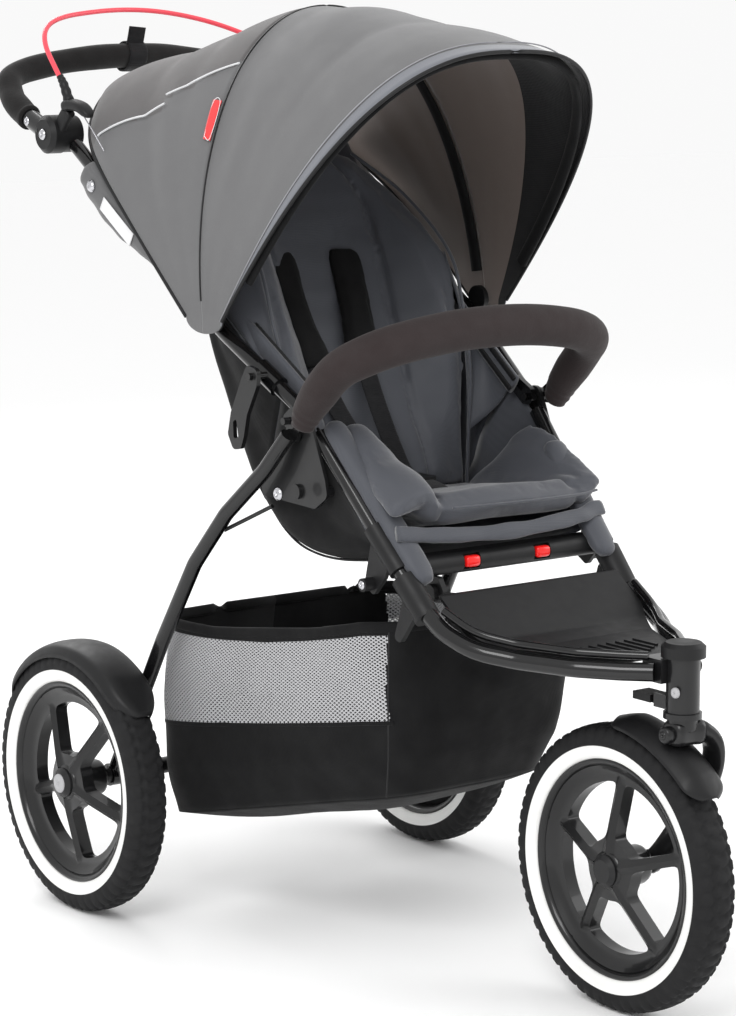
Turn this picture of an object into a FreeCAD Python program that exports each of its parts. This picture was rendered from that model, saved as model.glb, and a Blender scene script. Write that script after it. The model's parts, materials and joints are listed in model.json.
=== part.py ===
import FreeCAD, Part
import Sketcher
import math
import os

from FreeCAD import Placement, Rotation, Vector

# Three-wheeled folding stroller.  +Z is up, +Y points to the back (the handle), +X to the
# child's left.  The origin is on the ground under the middle of the overall box.

os.makedirs("parts", exist_ok=True)
doc = FreeCAD.newDocument("stroller")

DRIVING = (
    ("wheel_diameter", 300, "outer diameter of the three tyres"),
    ("tyre_width", 45, "width of the tyres"),
    ("rim_diameter", 229, "outer diameter of the rim"),
    ("track_half", 248, "rear tyre centre from the middle plane"),
    ("rear_axle_y", 250, "rear axle"),
    ("front_axle_y", -395, "front axle"),
    ("head_y", -480, "steering axis"),
    ("head_top", 400, "top of the steering cap"),
    ("head_bottom", 323, "bottom of the steering head"),
    ("head_diameter", 34, "steering head tube"),
    ("stem_diameter", 20, "fork stem in the steering head"),
    ("running_gap", 0.08, "radial clearance of a running fit"),
    ("fold_y", -60, "fold pivot"),
    ("fold_z", 590, "fold pivot"),
    ("fold_half", 152, "frame tubes at the fold pivot from the middle plane"),
    ("knuckle_y", -229, "knuckle of the front frame"),
    ("knuckle_z", 416, "knuckle of the front frame"),
    ("knuckle_half", 137, "knuckle from the middle plane"),
    ("hub_y", 385, "handle hub"),
    ("hub_z", 874, "handle hub"),
    ("hub_half", 171, "upper tube at the handle hub from the middle plane"),
    ("canopy_y", 70, "canopy hinge"),
    ("canopy_z", 673, "canopy hinge"),
    ("canopy_half", 196, "canopy side from the middle plane"),
    ("canopy_radius", 395, "front rim of the canopy from its hinge"),
    ("frame_tube", 17, "diameter of the upper and lower tubes"),
    ("front_tube", 19, "diameter of the front frame tubes"),
    ("handle_tube", 22, "diameter of the handlebar tube"),
    ("grip_diameter", 31, "outer diameter of the handlebar foam"),
    ("bumper_tube", 16, "diameter of the bumper bar tube"),
    ("bumper_foam", 40, "outer diameter of the bumper bar foam"),
    ("bow_diameter", 5.4, "canopy bow wire"),
    ("cable_diameter", 5.8, "fold cable sheath"),
    ("pin_diameter", 8, "pivot pins"),
    ("axle_diameter", 12, "wheel axles"),
    ("plate_thickness", 4, "pressed steel plates"),
    ("cushion_half", 112, "seat cushions from the middle plane"),
    ("cushion_thickness", 34, "seat cushions"),
    ("fabric_wall", 3, "thickness of canopy, seat shell and basket walls"),
)

sheet = doc.addObject("Spreadsheet::Sheet", "sizes")
for row, (alias, value, note) in enumerate(DRIVING, 1):
    sheet.set(f"A{row}", alias)
    sheet.set(f"B{row}", str(value))
    sheet.setAlias(f"B{row}", alias)
    sheet.set(f"C{row}", note)
doc.recompute()


def size(alias):
    return float(sheet.get(alias))


SIDES = (("right", -1), ("left", 1))
X_AXIS = Vector(1, 0, 0)
Z_AXIS = Vector(0, 0, 1)
WHEEL_RADIUS = size("wheel_diameter") / 2
WALL = size("fabric_wall")
pieces = []


# ---------------------------------------------------------------- helpers

def keep(item, label):
    """Names a finished sub-part and lists it for export."""
    item.Label = label
    pieces.append(item)
    return item


def turned(direction):
    """Rotation that carries +Z onto a direction."""
    return Rotation(Z_AXIS, Vector(*direction))


def cylinder(name, radius, length, start, direction=X_AXIS):
    """Cylinder from start along direction; radius and length are expressions over the sheet."""
    item = doc.addObject("Part::Cylinder", name)
    item.setExpression("Radius", radius)
    item.setExpression("Height", length)
    item.Placement = Placement(Vector(*start), turned(direction))
    return item


def box(name, low, high):
    item = doc.addObject("Part::Box", name)
    item.Length = high[0] - low[0]
    item.Width = high[1] - low[1]
    item.Height = high[2] - low[2]
    item.Placement.Base = Vector(*low)
    return item


def fuse(name, parts):
    item = doc.addObject("Part::MultiFuse", name)
    item.Shapes = parts
    return item


def cut(name, base, tool):
    item = doc.addObject("Part::Cut", name)
    item.Base = base
    item.Tool = tool
    return item


def group(name, parts):
    """Several separate solids in one sub-part."""
    item = doc.addObject("Part::Compound", name)
    item.Links = parts
    return item


def feature(name, shape):
    item = doc.addObject("Part::Feature", name)
    item.Shape = shape
    return item


def rounded_edges(points, largest, closed=False):
    """Straight runs joined by tangent arcs, each as large as its two runs allow."""
    corners = [Vector(*point) for point in points]
    count = len(corners)
    inner = range(count) if closed else range(1, count - 1)
    arcs = {}
    for index in inner:
        before, corner, after = corners[index - 1], corners[index], corners[(index + 1) % count]
        to_before = (before - corner).normalize()
        to_after = (after - corner).normalize()
        half_turn = (math.pi - to_before.getAngle(to_after)) / 2
        if half_turn < 0.003:
            continue
        shorter = min((before - corner).Length, (after - corner).Length)
        radius = min(largest, 0.45 * shorter / math.tan(half_turn))
        reach = radius * math.tan(half_turn)
        middle = (to_before + to_after).normalize()
        centre = corner + middle * (radius / math.cos(half_turn))
        arcs[index] = (corner + to_before * reach, centre - middle * radius, corner + to_after * reach,
                       radius)
    edges = []
    spans = range(count) if closed else range(count - 1)
    for index in spans:
        following = (index + 1) % count
        start = arcs[index][2] if index in arcs else corners[index]
        end = arcs[following][0] if following in arcs else corners[following]
        edges.append(Part.makeLine(start, end))
        if following in arcs:
            first, middle, last, radius = arcs[following]
            edges.append(Part.Arc(first, middle, last).toShape())
    return edges, [arc[3] for arc in arcs.values()]


def path(name, points, largest):
    edges, radii = rounded_edges(points, largest)
    return feature(name + "_path", Part.Wire(edges)), radii


def tube(name, points, diameter, largest=60):
    """Round bar along a route; the diameter is an expression over the sheet."""
    route, radii = path(name, points, largest)
    section = doc.addObject("Part::Circle", name + "_section")
    section.setExpression("Radius", f"({diameter}) / 2")
    section.Placement = Placement(Vector(*points[0]), turned(Vector(*points[1]) - Vector(*points[0])))
    item = doc.addObject("Part::Sweep", name + "_sweep")
    item.Sections = [section]
    item.Spine = (route, [f"Edge{number + 1}" for number in range(len(route.Shape.Edges))])
    item.Solid = True
    item.Frenet = False
    return item


def sleeve(name, points, outside, inside, largest=60):
    """Hollow tube along a route."""
    outer = tube(name + "_outer", points, outside, largest)
    inner = tube(name + "_inner", points, inside, largest)
    return cut(name, outer, inner)


def plate(name, outline, start, thickness, corner=6):
    """Flat plate in the Y-Z plane with rounded corners, from x = start towards +X."""
    edges, _ = rounded_edges([(start, y, z) for y, z in outline], corner, closed=True)
    face = feature(name + "_outline", Part.Face(Part.Wire(edges)))
    item = doc.addObject("Part::Extrusion", name)
    item.Base = face
    item.DirMode = "Custom"
    item.Dir = X_AXIS
    item.setExpression("LengthFwd", thickness)
    item.Solid = True
    return item


def filleted(name, base, edges, radius):
    """Rounds some edges of a finished object."""
    doc.recompute()
    item = doc.addObject("Part::Fillet", name)
    item.Base = base
    item.Edges = [(edge, radius, radius) for edge in edges]
    return item


def revolved(name, profile, centre, corner=0):
    """Solid of revolution about the X axis through centre; profile points are (x, radius)."""
    placed = [(x + centre[0], centre[1], radius + centre[2]) for x, radius in profile]
    if corner:
        edges, _ = rounded_edges(placed, corner, closed=True)
        wire = Part.Wire(edges)
    else:
        wire = Part.makePolygon([Vector(*point) for point in placed + placed[:1]])
    face = feature(name + "_profile", Part.Face(wire))
    item = doc.addObject("Part::Revolution", name)
    item.Source = face
    item.Base = Vector(*centre)
    item.Axis = X_AXIS
    item.Angle = 360
    item.Solid = True
    return item


def span(side, inner, outer):
    """The lower x of a layer that reaches from inner to outer on one side."""
    return inner if side > 0 else -outer


def mirror_route(side, points):
    return [(side * x, y, z) for x, y, z in points]


def along(start, end, part):
    return tuple(a + (b - a) * part for a, b in zip(start, end))


# ---------------------------------------------------------------- wheels

def tyre(name, centre):
    half = size("tyre_width") / 2
    rim = size("rim_diameter") / 2
    top = WHEEL_RADIUS
    profile = ((-half + 5, rim), (half - 5, rim), (half, rim + 13), (half - 1.5, top - 10),
               (half - 8, top - 2.5),
               (half - 15, top), (-half + 15, top), (-half + 8, top - 2.5), (-half + 1.5, top - 10),
               (-half, rim + 13))
    return keep(revolved(name + "_body", profile, centre, corner=5), name)


def spoked_rim(name, centre):
    """One-piece rim: barrel, flanges, hub and five spokes."""
    rim = size("rim_diameter") / 2
    half = size("tyre_width") / 2 - 5.2
    bore = size("axle_diameter") / 2 + size("running_gap")
    spoke_half, dish, barrel_wall, hub_radius, hub_half = 9, 9, 7, 17, 21
    body = doc.addObject("PartDesign::Body", name)
    planes = {item.Role: item for item in body.Origin.OriginFeatures}

    turning = body.newObject("Sketcher::SketchObject", name + "_section")
    turning.AttachmentSupport = [(planes["XY_Plane"], "")]
    turning.MapMode = "FlatFace"
    loops = (((-half, rim - barrel_wall), (half, rim - barrel_wall), (half, rim), (-half, rim)),
             ((-hub_half, bore), (hub_half, bore), (hub_half, hub_radius), (-hub_half, hub_radius)))
    for loop in loops:
        first = turning.GeometryCount
        for index, corner in enumerate(loop):
            following = loop[(index + 1) % len(loop)]
            turning.addGeometry(Part.LineSegment(Vector(*corner, 0), Vector(*following, 0)))
        for index in range(4):
            turning.addConstraint(Sketcher.Constraint("Coincident", first + index, 2,
                                                      first + (index + 1) % 4, 1))
            direction = "Horizontal" if index % 2 == 0 else "Vertical"
            turning.addConstraint(Sketcher.Constraint(direction, first + index))
    heights = ((2, "sizes.rim_diameter / 2", rim),
               (0, f"sizes.rim_diameter / 2 - {barrel_wall}", rim - barrel_wall),
               (4, "sizes.axle_diameter / 2 + sizes.running_gap", bore))
    for edge, rule, value in heights:
        number = turning.addConstraint(Sketcher.Constraint("DistanceY", -1, 1, edge, 1, value))
        turning.setExpression(f"Constraints[{number}]", rule)
    barrel = body.newObject("PartDesign::Revolution", name + "_barrel")
    barrel.Profile = turning
    barrel.ReferenceAxis = (turning, ["H_Axis"])
    barrel.Angle = 360

    drawing = body.newObject("Sketcher::SketchObject", name + "_spoke_outline")
    drawing.AttachmentSupport = [(planes["YZ_Plane"], "")]
    drawing.MapMode = "FlatFace"
    wide, narrow = spoke_half + 4, spoke_half - 2
    outline = ((-wide, hub_radius - 5), (wide, hub_radius - 5), (narrow, 55),
               (wide + 3, rim - barrel_wall + 3),
               (-wide - 3, rim - barrel_wall + 3), (-narrow, 55))
    for index, corner in enumerate(outline):
        following = outline[(index + 1) % len(outline)]
        drawing.addGeometry(Part.LineSegment(Vector(*corner, 0), Vector(*following, 0)))
    for index in range(len(outline)):
        drawing.addConstraint(Sketcher.Constraint("Coincident", index, 2, (index + 1) % len(outline), 1))
    spoke = body.newObject("PartDesign::Pad", name + "_spoke")
    spoke.Profile = drawing
    spoke.Length = 2 * dish
    spoke.Midplane = True
    doc.recompute()
    spokes = body.newObject("PartDesign::PolarPattern", name + "_spokes")
    spokes.Originals = [spoke]
    spokes.Axis = (planes["X_Axis"], [""])
    spokes.Angle = 360
    spokes.Occurrences = 5
    body.Tip = spokes
    body.Placement.Base = Vector(*centre)
    return keep(body, name)


def hub_cap(name, centre, outward, radius=17, depth=9):
    """Domed cap on the outer end of a hub."""
    profile = [(0, 0), (0, radius), (depth * 0.55, radius), (depth, radius - 5), (depth, 0)]
    turned_profile = [(outward * x, r) for x, r in profile]
    return keep(revolved(name + "_dome", turned_profile, centre), name)


def rear_wheels():
    for word, side in SIDES:
        centre = (side * size("track_half"), size("rear_axle_y"), WHEEL_RADIUS)
        tyre(f"rear_tyre_{word}", centre)
        spoked_rim(f"rear_rim_{word}", centre)
        face = (side * (size("track_half") + 21), size("rear_axle_y"), WHEEL_RADIUS)
        hub_cap(f"rear_hub_cap_{word}", face, side)


def front_wheel():
    centre = (0, size("front_axle_y"), WHEEL_RADIUS)
    tyre("front_tyre", centre)
    spoked_rim("front_rim", centre)
    hub_cap("front_hub_cap", (-21, size("front_axle_y"), WHEEL_RADIUS), -1)


# ---------------------------------------------------------------- front end

def mudguard(name, centre, low_x, width, first, last, radius=155.5, wall=3, drop=9):
    """Curved guard over a tyre: a band about the axle with two shallow turned-down edges."""
    def sector(inner, outer, start, length):
        ring = Part.makeCylinder(outer, length, Vector(start, centre[1], centre[2]), X_AXIS)
        hole = Part.makeCylinder(inner, length + 2, Vector(start - 1, centre[1], centre[2]), X_AXIS)
        reach = 2 * outer
        turns = [first + (last - first) * step / 4 for step in range(5)]
        rays = [Vector(start - 1, centre[1] + reach * math.cos(math.radians(turn)),
                       centre[2] + reach * math.sin(math.radians(turn))) for turn in turns]
        apex = Vector(start - 1, centre[1], centre[2])
        wedge = Part.Face(Part.makePolygon([apex] + rays + [apex])).extrude(X_AXIS * (length + 2))
        return ring.cut(hole).common(wedge)
    band = sector(radius, radius + wall, low_x, width)
    for start in (low_x, low_x + width - wall):
        band = band.fuse(sector(radius - drop + 5, radius + 0.5, start, wall))
    return feature(name + "_band", band.removeSplitter())


LEVER_PIVOT = (size("head_y") + 26, size("head_bottom") + 14)


def steering():
    head_y, low, top = size("head_y"), size("head_bottom"), size("head_top")
    shell = cylinder("head_shell", "sizes.head_diameter / 2", "sizes.head_top - sizes.head_bottom - 15",
                     (0, head_y, low), Z_AXIS)
    lug = box("head_lug", (-24, head_y + 6, low + 36), (24, head_y + 34, low + 60))
    collar = cylinder("head_collar", "sizes.head_diameter / 2 + 2.5", "6", (0, head_y, low), Z_AXIS)
    ears = [box(f"head_ear_{word}", (low_x, head_y + 10, low + 7), (low_x + 3, head_y + 32, low + 21))
            for word, low_x in (("right", -10), ("left", 7))]
    pin = cylinder("head_lever_pin", "3", "18", (-9, *LEVER_PIVOT))
    body = fuse("head_body", [shell, lug, collar, pin] + ears)
    bore = cylinder("head_bore", "sizes.stem_diameter / 2 + sizes.running_gap", "58", (0, head_y, low - 1),
                    Z_AXIS)
    keep(cut("head_cut", body, bore), "steering_head")
    cap = cylinder("cap_disc", "sizes.head_diameter / 2 + 5.5", "11", (0, head_y, top - 15), Z_AXIS)
    dome = doc.addObject("Part::Cone", "cap_dome")
    dome.setExpression("Radius1", "sizes.head_diameter / 2 + 5.5")
    dome.setExpression("Radius2", "sizes.head_diameter / 2 + 1")
    dome.Height = 4
    dome.Placement.Base = Vector(0, head_y, top - 4)
    keep(fuse("cap_whole", [cap, dome]), "steering_cap")


def front_fork():
    head_y, axle_y, low = size("head_y"), size("front_axle_y"), size("head_bottom")
    stem = cylinder("fork_stem", "sizes.stem_diameter / 2", "54", (0, head_y, low - 14), Z_AXIS)
    crown = box("fork_crown", (-17, head_y - 15, low - 29), (38, head_y + 15, low - 1.5))
    arm_x = 31
    arm_outline = ((head_y - 15, low - 1.5), (head_y + 13, low - 1.5), (head_y + 17, low - 60),
                   (axle_y + 17, WHEEL_RADIUS + 12),
                   (axle_y + 13, WHEEL_RADIUS - 17), (axle_y - 13, WHEEL_RADIUS - 17),
                   (head_y - 18, low - 55))
    arm = plate("fork_arm", arm_outline, arm_x, "9", corner=9)
    axle = cylinder("fork_axle", "sizes.axle_diameter / 2", "51", (-20, axle_y, WHEEL_RADIUS))
    collar = cylinder("fork_collar", "sizes.axle_diameter / 2 + 5", "9.5", (21.5, axle_y, WHEEL_RADIUS))
    pin = cylinder("fork_pin", "7.5", "8", (-25, head_y, low - 15))
    stay = box("fork_stay", (-9, head_y - 9, low - 45), (9, head_y + 9, low - 27))
    over_guard = cylinder("fork_stay_limit", "158.55", "40", (-20, axle_y, WHEEL_RADIUS))
    keep(fuse("fork_body", [stem, crown, arm, axle, collar, pin, cut("fork_stay_cut", stay, over_guard)]),
         "front_fork")
    guard = mudguard("front_fender_sheet", (0, axle_y, WHEEL_RADIUS), -26, 52, 87, 143)
    keep(guard, "front_fender")


def swivel_lever():
    """Small lever behind the steering head that locks the fork straight."""
    head_y, low = size("head_y"), size("head_bottom")
    grip = box("lever_grip", (-11, head_y + 36, low + 10), (11, head_y + 62, low + 18))
    neck = box("lever_neck", (-6, head_y + 20.5, low + 9), (6, head_y + 38, low + 18.5))
    hole = cylinder("lever_hole", "3 + sizes.running_gap", "30", (-15, *LEVER_PIVOT))
    keep(cut("lever_cut", fuse("lever_body", [grip, neck]), hole), "swivel_lock_lever")


# ---------------------------------------------------------------- chassis

FOLD = (size("fold_half"), size("fold_y"), size("fold_z"))
KNUCKLE = (size("knuckle_half"), size("knuckle_y"), size("knuckle_z"))
HUB = (size("hub_half"), size("hub_y"), size("hub_z"))


FRONT_ROUTE = (KNUCKLE, (137, -268, 392), (128, -306, 377), (102, -345, 371), (74, -400, 369),
               (46, -440, 369),
               (26, -466, 370))


def front_tubes():
    """The two tubes that run from the knuckles to the steering head."""
    head_y, low = size("head_y"), size("head_bottom")
    for word, side in SIDES:
        name = f"front_tube_{word}"
        bar = tube(name + "_bar", mirror_route(side, FRONT_ROUTE), "sizes.front_tube", 90)
        lug = box(name + "_limit", (-24, head_y + 6, low + 36), (24, head_y + 34, low + 60))
        keep(cut(name + "_cut", bar, lug), name)


def lower_tubes():
    """Straight tubes from just above the knuckles to just under the fold pivot."""
    start = along(KNUCKLE, FOLD, 0.13)
    end = along(KNUCKLE, FOLD, 0.915)
    for word, side in SIDES:
        ends = mirror_route(side, (start, end))
        direction = Vector(*ends[1]) - Vector(*ends[0])
        item = cylinder(f"lower_tube_{word}_bar", "sizes.frame_tube / 2", str(direction.Length), ends[0],
                        direction)
        keep(item, f"lower_tube_{word}")


def knuckles():
    """Moulded sleeves that join the lower tubes, the front tubes and the crossbar."""
    for word, side in SIDES:
        start, end = mirror_route(side, (along(KNUCKLE, FOLD, -0.08), along(KNUCKLE, FOLD, 0.129)))
        direction = Vector(*end) - Vector(*start)
        name = f"knuckle_{word}"
        shell = cylinder(name + "_sleeve", "sizes.front_tube / 2 + 4.5", str(direction.Length), start,
                         direction)
        ear = plate(name + "_ear", ((-236, 428), (-222, 402), (-196, 368), (-186, 372), (-204, 424)),
                    span(side, 130, 136), "6", corner=5)
        body = fuse(name + "_body", [shell, ear])
        front = tube(name + "_seat", mirror_route(side, FRONT_ROUTE[:3]), "sizes.front_tube", 90)
        keep(cut(name + "_cut", body, front), name)


def roller_brackets():
    """Sleeve on each lower tube with an ear that carries the storage-lock roller."""
    for word, side in SIDES:
        low, high = along(KNUCKLE, FOLD, 0.165), along(KNUCKLE, FOLD, 0.40)
        start, end = mirror_route(side, (low, high))
        direction = Vector(*end) - Vector(*start)
        name = f"roller_bracket_{word}"
        shell = cylinder(name + "_sleeve", "sizes.frame_tube / 2 + 3.2", str(direction.Length), start,
                         direction)
        ear = plate(name + "_ear",
                    ((-176, 486), (-163, 470), (-152, 425), (-168, 416), (-186, 436), (-196, 456)),
                    span(side, 144, 149), "5", corner=5)
        body = fuse(name + "_body", [shell, ear])
        bar = cylinder(name + "_bar", "sizes.frame_tube / 2", str(direction.Length + 40),
                       tuple(Vector(*start) - direction * (20 / direction.Length)), direction)
        hollow = cut(name + "_hollow", body, bar)
        roller = cylinder(name + "_roller", "7", "13", (span(side, 149, 162), -165, 428))
        keep(fuse(name + "_whole", [hollow, roller]), f"roller_bracket_{word}")


def side_plates():
    """Pressed plates under the fold pivots; they carry the fold pins."""
    outline = ((-72, 594), (-66, 602), (-54, 602), (-48, 594), (-46, 584), (16, 514), (13, 500),
               (-82, 497), (-104, 512), (-100, 530))
    layer = FOLD[0] + 5.5
    for word, side in SIDES:
        name = f"side_plate_{word}"
        sheet_metal = plate(name + "_sheet", outline, span(side, layer, layer + size("plate_thickness")),
                            "sizes.plate_thickness", corner=8)
        boss = cylinder(name + "_boss", "8", "5", (span(side, layer + 3, layer + 8), -52, 512))
        clamp = cylinder(name + "_clamp", "5", "8", (span(side, layer - 7, layer + 1), -97, 517))
        pin = cylinder(name + "_pin", "sizes.pin_diameter / 2", "44",
                       (span(side, 143, 187), FOLD[1], FOLD[2]))
        low, high = mirror_route(side, (KNUCKLE, FOLD))
        bar = cylinder(name + "_bar", "sizes.frame_tube / 2", "260", low, Vector(*high) - Vector(*low))
        keep(cut(name + "_cut", fuse(name + "_whole", [sheet_metal, boss, pin, clamp]), bar), name)


def crossbar():
    """Moulded bar under the seat's front with two pockets for the release buttons."""
    y, z, half = -196, 446, 131
    bar = cylinder("crossbar_round", "11.5", str(2 * half), (-half, y, z))
    back = box("crossbar_back", (-half + 12, y, z - 11.5), (half - 12, y + 11, z + 11.5))
    body = fuse("crossbar_body", [bar, back])
    pockets = [box(f"crossbar_pocket_{word}", (side * 48 - 11, y - 20, z - 7),
                   (side * 48 + 11, y - 2.5, z + 9))
               for word, side in SIDES]
    ends = []
    for word, side in SIDES:
        low, high = mirror_route(side, (along(KNUCKLE, FOLD, -0.2), along(KNUCKLE, FOLD, 0.5)))
        ends.append(cylinder(f"crossbar_end_{word}", "sizes.front_tube / 2 + 4.6", "170", low,
                             Vector(*high) - Vector(*low)))
    keep(cut("crossbar_cut", body, fuse("crossbar_pockets", pockets + ends)), "front_crossbar")
    for word, side in SIDES:
        button = box(f"button_{word}_block", (side * 48 - 10, y - 14.5, z - 6),
                     (side * 48 + 10, y - 7, z + 8))
        keep(filleted(f"button_{word}_shaped", button, (9, 10, 11, 12), 2), f"release_button_{word}")
    ear = plate("lock_bracket_ear",
                ((-204, 434), (-188, 434), (-178, 418), (-186, 407), (-206, 407), (-214, 418)),
                -92, "6", corner=5)
    roller = cylinder("lock_bracket_roller", "9", "22", (-98, -196, 417))
    keep(fuse("lock_bracket_whole", [ear, roller]), "lock_bracket")


def footplate():
    """Moulded tray between the front tubes, with a raised calf panel and ribs near the head."""
    profile = ((-238, 424), (-243, 424), (-300, 384), (-330, 378.5), (-455, 378.5), (-455, 374),
               (-331, 374), (-298, 379.5))
    edges, _ = rounded_edges([(0, y, z) for y, z in profile], 20, closed=True)
    slab = Part.Face(Part.Wire(edges)).extrude(X_AXIS * 300)
    slab.translate(Vector(-150, 0, 0))
    half_plan = ((121, -220), (121, -285), (88, -338), (58, -398), (30, -432))
    plan = mirror_route(-1, [(x, y, 0) for x, y in half_plan]) + [(x, y, 0) for x, y in reversed(half_plan)]
    edges, _ = rounded_edges([(x, y, 340) for x, y, _ in plan], 30, closed=True)
    trim = Part.Face(Part.Wire(edges)).extrude(Vector(0, 0, 120))
    tray = slab.common(trim)
    for number in range(-3, 4):
        corner = Vector(number * 12 - 1.5, -426 + 8 * abs(number), 377.5)
        rib = Part.makeBox(3, 60 - 8 * abs(number), 3, corner)
        tray = tray.fuse(rib)
    keep(feature("footplate_tray", tray.removeSplitter()), "footplate")
    rail = ((130, -262, 412), (122, -302, 394), (97, -341, 386.5), (70, -396, 384.5), (43, -434, 384.5),
            (26, -457, 385))
    rails = [tube(f"foot_rail_{word}", mirror_route(side, rail), "9", 90) for word, side in SIDES]
    keep(group("foot_rail_pair", rails), "foot_rails")


def seat():
    """Seat cushion on the chassis, reclining back cushion, and the fabric shell round them."""
    half = size("cushion_half")
    thick = size("cushion_thickness")
    base = plate("seat_base_block",
                 ((5, 470), (8, 506), (-40, 500), (-225, 500), (-238, 484), (-225, 466), (-60, 464)),
                 -half, "2 * sizes.cushion_half", corner=12)
    keep(base, "seat_base")
    slope = math.radians(68)
    foot = (10, 507)
    length = 392
    ahead = (-math.sin(slope), math.cos(slope))
    up = (math.cos(slope), math.sin(slope))
    corners = ((0, 0), (length, 0), (length, thick), (0, thick))
    outline = [(foot[0] + up[0] * rise - ahead[0] * depth, foot[1] + up[1] * rise - ahead[1] * depth)
               for rise, depth in corners]
    keep(plate("seat_back_block", outline, -half, "2 * sizes.cushion_half", corner=14), "seat_back")
    outer = ((-176, 446), (-66, 436), (18, 446), (62, 486), (140, 590), (212, 742), (240, 850))
    inner = ((235, 852), (207, 744), (135.5, 592), (57, 489), (15, 450), (-66, 440), (-176, 450))
    edges, _ = rounded_edges([(-116, y, z) for y, z in outer + inner], 40, closed=True)
    shell = Part.Face(Part.Wire(edges)).extrude(X_AXIS * 232)
    keep(feature("seat_shell_sheet", shell), "seat_shell")


def harness():
    """Five-point buckle that lies on the seat cushion's front."""
    case = box("buckle_case", (-19, -64, 504.5), (19, -22, 513))
    keep(filleted("buckle_rounded", case, (1, 3, 5, 7), 5), "harness_buckle")


def loop(points):
    """Closed polygon wire."""
    return Part.makePolygon([Vector(*point) for point in points + points[:1]])


def basket():
    """Open bag under the seat, closed below and higher at the front."""
    def ring(inset, lift):
        levels = []
        for half_front, half_back, y_front, y_back, z_front, z_back in (
                (100, 154, -170, 224, 186, 92), (116, 174, -188, 227, 240, 170),
                (134, 186, -186, 222, 380, 334)):
            f, b = half_front - inset, half_back - inset
            near, far = y_front + inset, y_back - inset
            middle = (near + far) / 2
            right = [(f - 16, near, z_front), (f, near + 18, z_front), ((f + b) / 2, middle, 0),
                     (b, far - 18, z_back),
                     (b - 16, far, z_back)]
            levels.append(mirror_route(-1, right[:1]) + right + mirror_route(-1, reversed(right[1:])))
        levels[0] = [(x, y, z + lift) for x, y, z in levels[0]]
        if inset:
            levels.append([(x, y, z + 30) for x, y, z in levels[2]])
        return levels
    outside = Part.makeLoft([loop(level) for level in flat_loops(ring(0, 0))], True, True)
    inside = Part.makeLoft([loop(level) for level in flat_loops(ring(WALL, WALL))], True, True)
    keep(feature("basket_bag", outside.cut(inside)), "basket")


def flat_loops(levels):
    """Puts each level's points on the plane through its front and back edges."""
    result = []
    for level in levels:
        front, back = level[0], level[5]
        slope = (back[2] - front[2]) / (back[1] - front[1])
        result.append([(x, y, front[2] + slope * (y - front[1])) for x, y, _ in level])
    return result


# ---------------------------------------------------------------- rear frame

def rear_frame():
    """Legs from the fold pivots to the axle, the axle, mudguards, links and brake."""
    axle_y = size("rear_axle_y")
    layer = FOLD[0] + 11
    for word, side in SIDES:
        name = f"rear_leg_{word}"
        eye = plate(name + "_eye", ((-71, 592), (-62, 601), (-51, 596), (-34, 570), (-40, 562), (-56, 566)),
                    span(side, layer, layer + 5), "5", corner=7)
        route = ((layer + 8, FOLD[1] + 12, FOLD[2] - 17), (178, -14, 531), (188, 44, 478), (193, 98, 416),
                 (198, 156, 321),
                 (205, axle_y - 2, WHEEL_RADIUS + 4))
        leg = tube(name + "_bar", mirror_route(side, route), "sizes.frame_tube", 60)
        foot = cylinder(name + "_foot", "13", "16", (span(side, 196, 212), axle_y, WHEEL_RADIUS))
        whole = fuse(name + "_whole", [eye, leg, foot])
        hole = cylinder(name + "_hole", "sizes.pin_diameter / 2 + sizes.running_gap", "60",
                        (span(side, 140, 200), FOLD[1], FOLD[2]))
        axle_hole = cylinder(name + "_axle_hole", "sizes.axle_diameter / 2", "40",
                             (span(side, 180, 220), axle_y, WHEEL_RADIUS))
        keep(cut(name + "_cut", whole, fuse(name + "_holes", [hole, axle_hole])), name)
        centre = (0, axle_y, WHEEL_RADIUS)
        low_x = span(side, size("track_half") - 25, size("track_half") + 22)
        guard = mudguard(f"mudguard_{word}_sheet", centre, low_x, 47, 27, 142, radius=152.8, wall=2.7)
        stay = plate(f"mudguard_{word}_stay",
                     ((axle_y - 92, 270), (axle_y - 72, 288), (axle_y - 36, 303), (axle_y - 20, 300),
                     (axle_y - 34, 288), (axle_y - 64, 262)), span(side, 212, size("track_half") - 23),
                     "13", corner=5)
        keep(fuse(f"mudguard_{word}_whole", [guard, stay]), f"mudguard_{word}")
    axle = cylinder("rear_axle_rod", "sizes.axle_diameter / 2", "2 * sizes.track_half + 41",
                    (-size("track_half") - 20.5, axle_y, WHEEL_RADIUS))
    collars = [cylinder(f"rear_axle_collar_{word}", "10", "13",
                        (span(side, 213, 226), axle_y, WHEEL_RADIUS))
               for word, side in SIDES]
    beam = cylinder("rear_axle_beam", "9.5", "392", (-196, axle_y, WHEEL_RADIUS))
    keep(fuse("rear_axle_whole", [axle, beam] + collars), "rear_axle")
    wire = ((179, 60, 457), (173, 22, 475), (168, -14, 492))
    links = [tube(f"link_{word}_wire", mirror_route(side, wire), "4.5", 30) for word, side in SIDES]
    keep(group("rear_links_pair", links), "rear_links")


def brake():
    """Foot pedal on the axle that parks the stroller."""
    axle_y = size("rear_axle_y")
    ring = cylinder("brake_ring", "15", "34", (-17, axle_y, WHEEL_RADIUS))
    tread = box("brake_tread", (-38, axle_y + 18, WHEEL_RADIUS - 4), (38, axle_y + 62, WHEEL_RADIUS + 4))
    arm = box("brake_arm", (-12, axle_y + 4, WHEEL_RADIUS - 5), (12, axle_y + 24, WHEEL_RADIUS + 5))
    whole = fuse("brake_whole", [ring, tread, arm])
    hole = cylinder("brake_hole", "9.5 + sizes.running_gap", "60", (-30, axle_y, WHEEL_RADIUS))
    keep(cut("brake_cut", whole, hole), "brake_pedal")


# ---------------------------------------------------------------- handle frame

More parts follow.
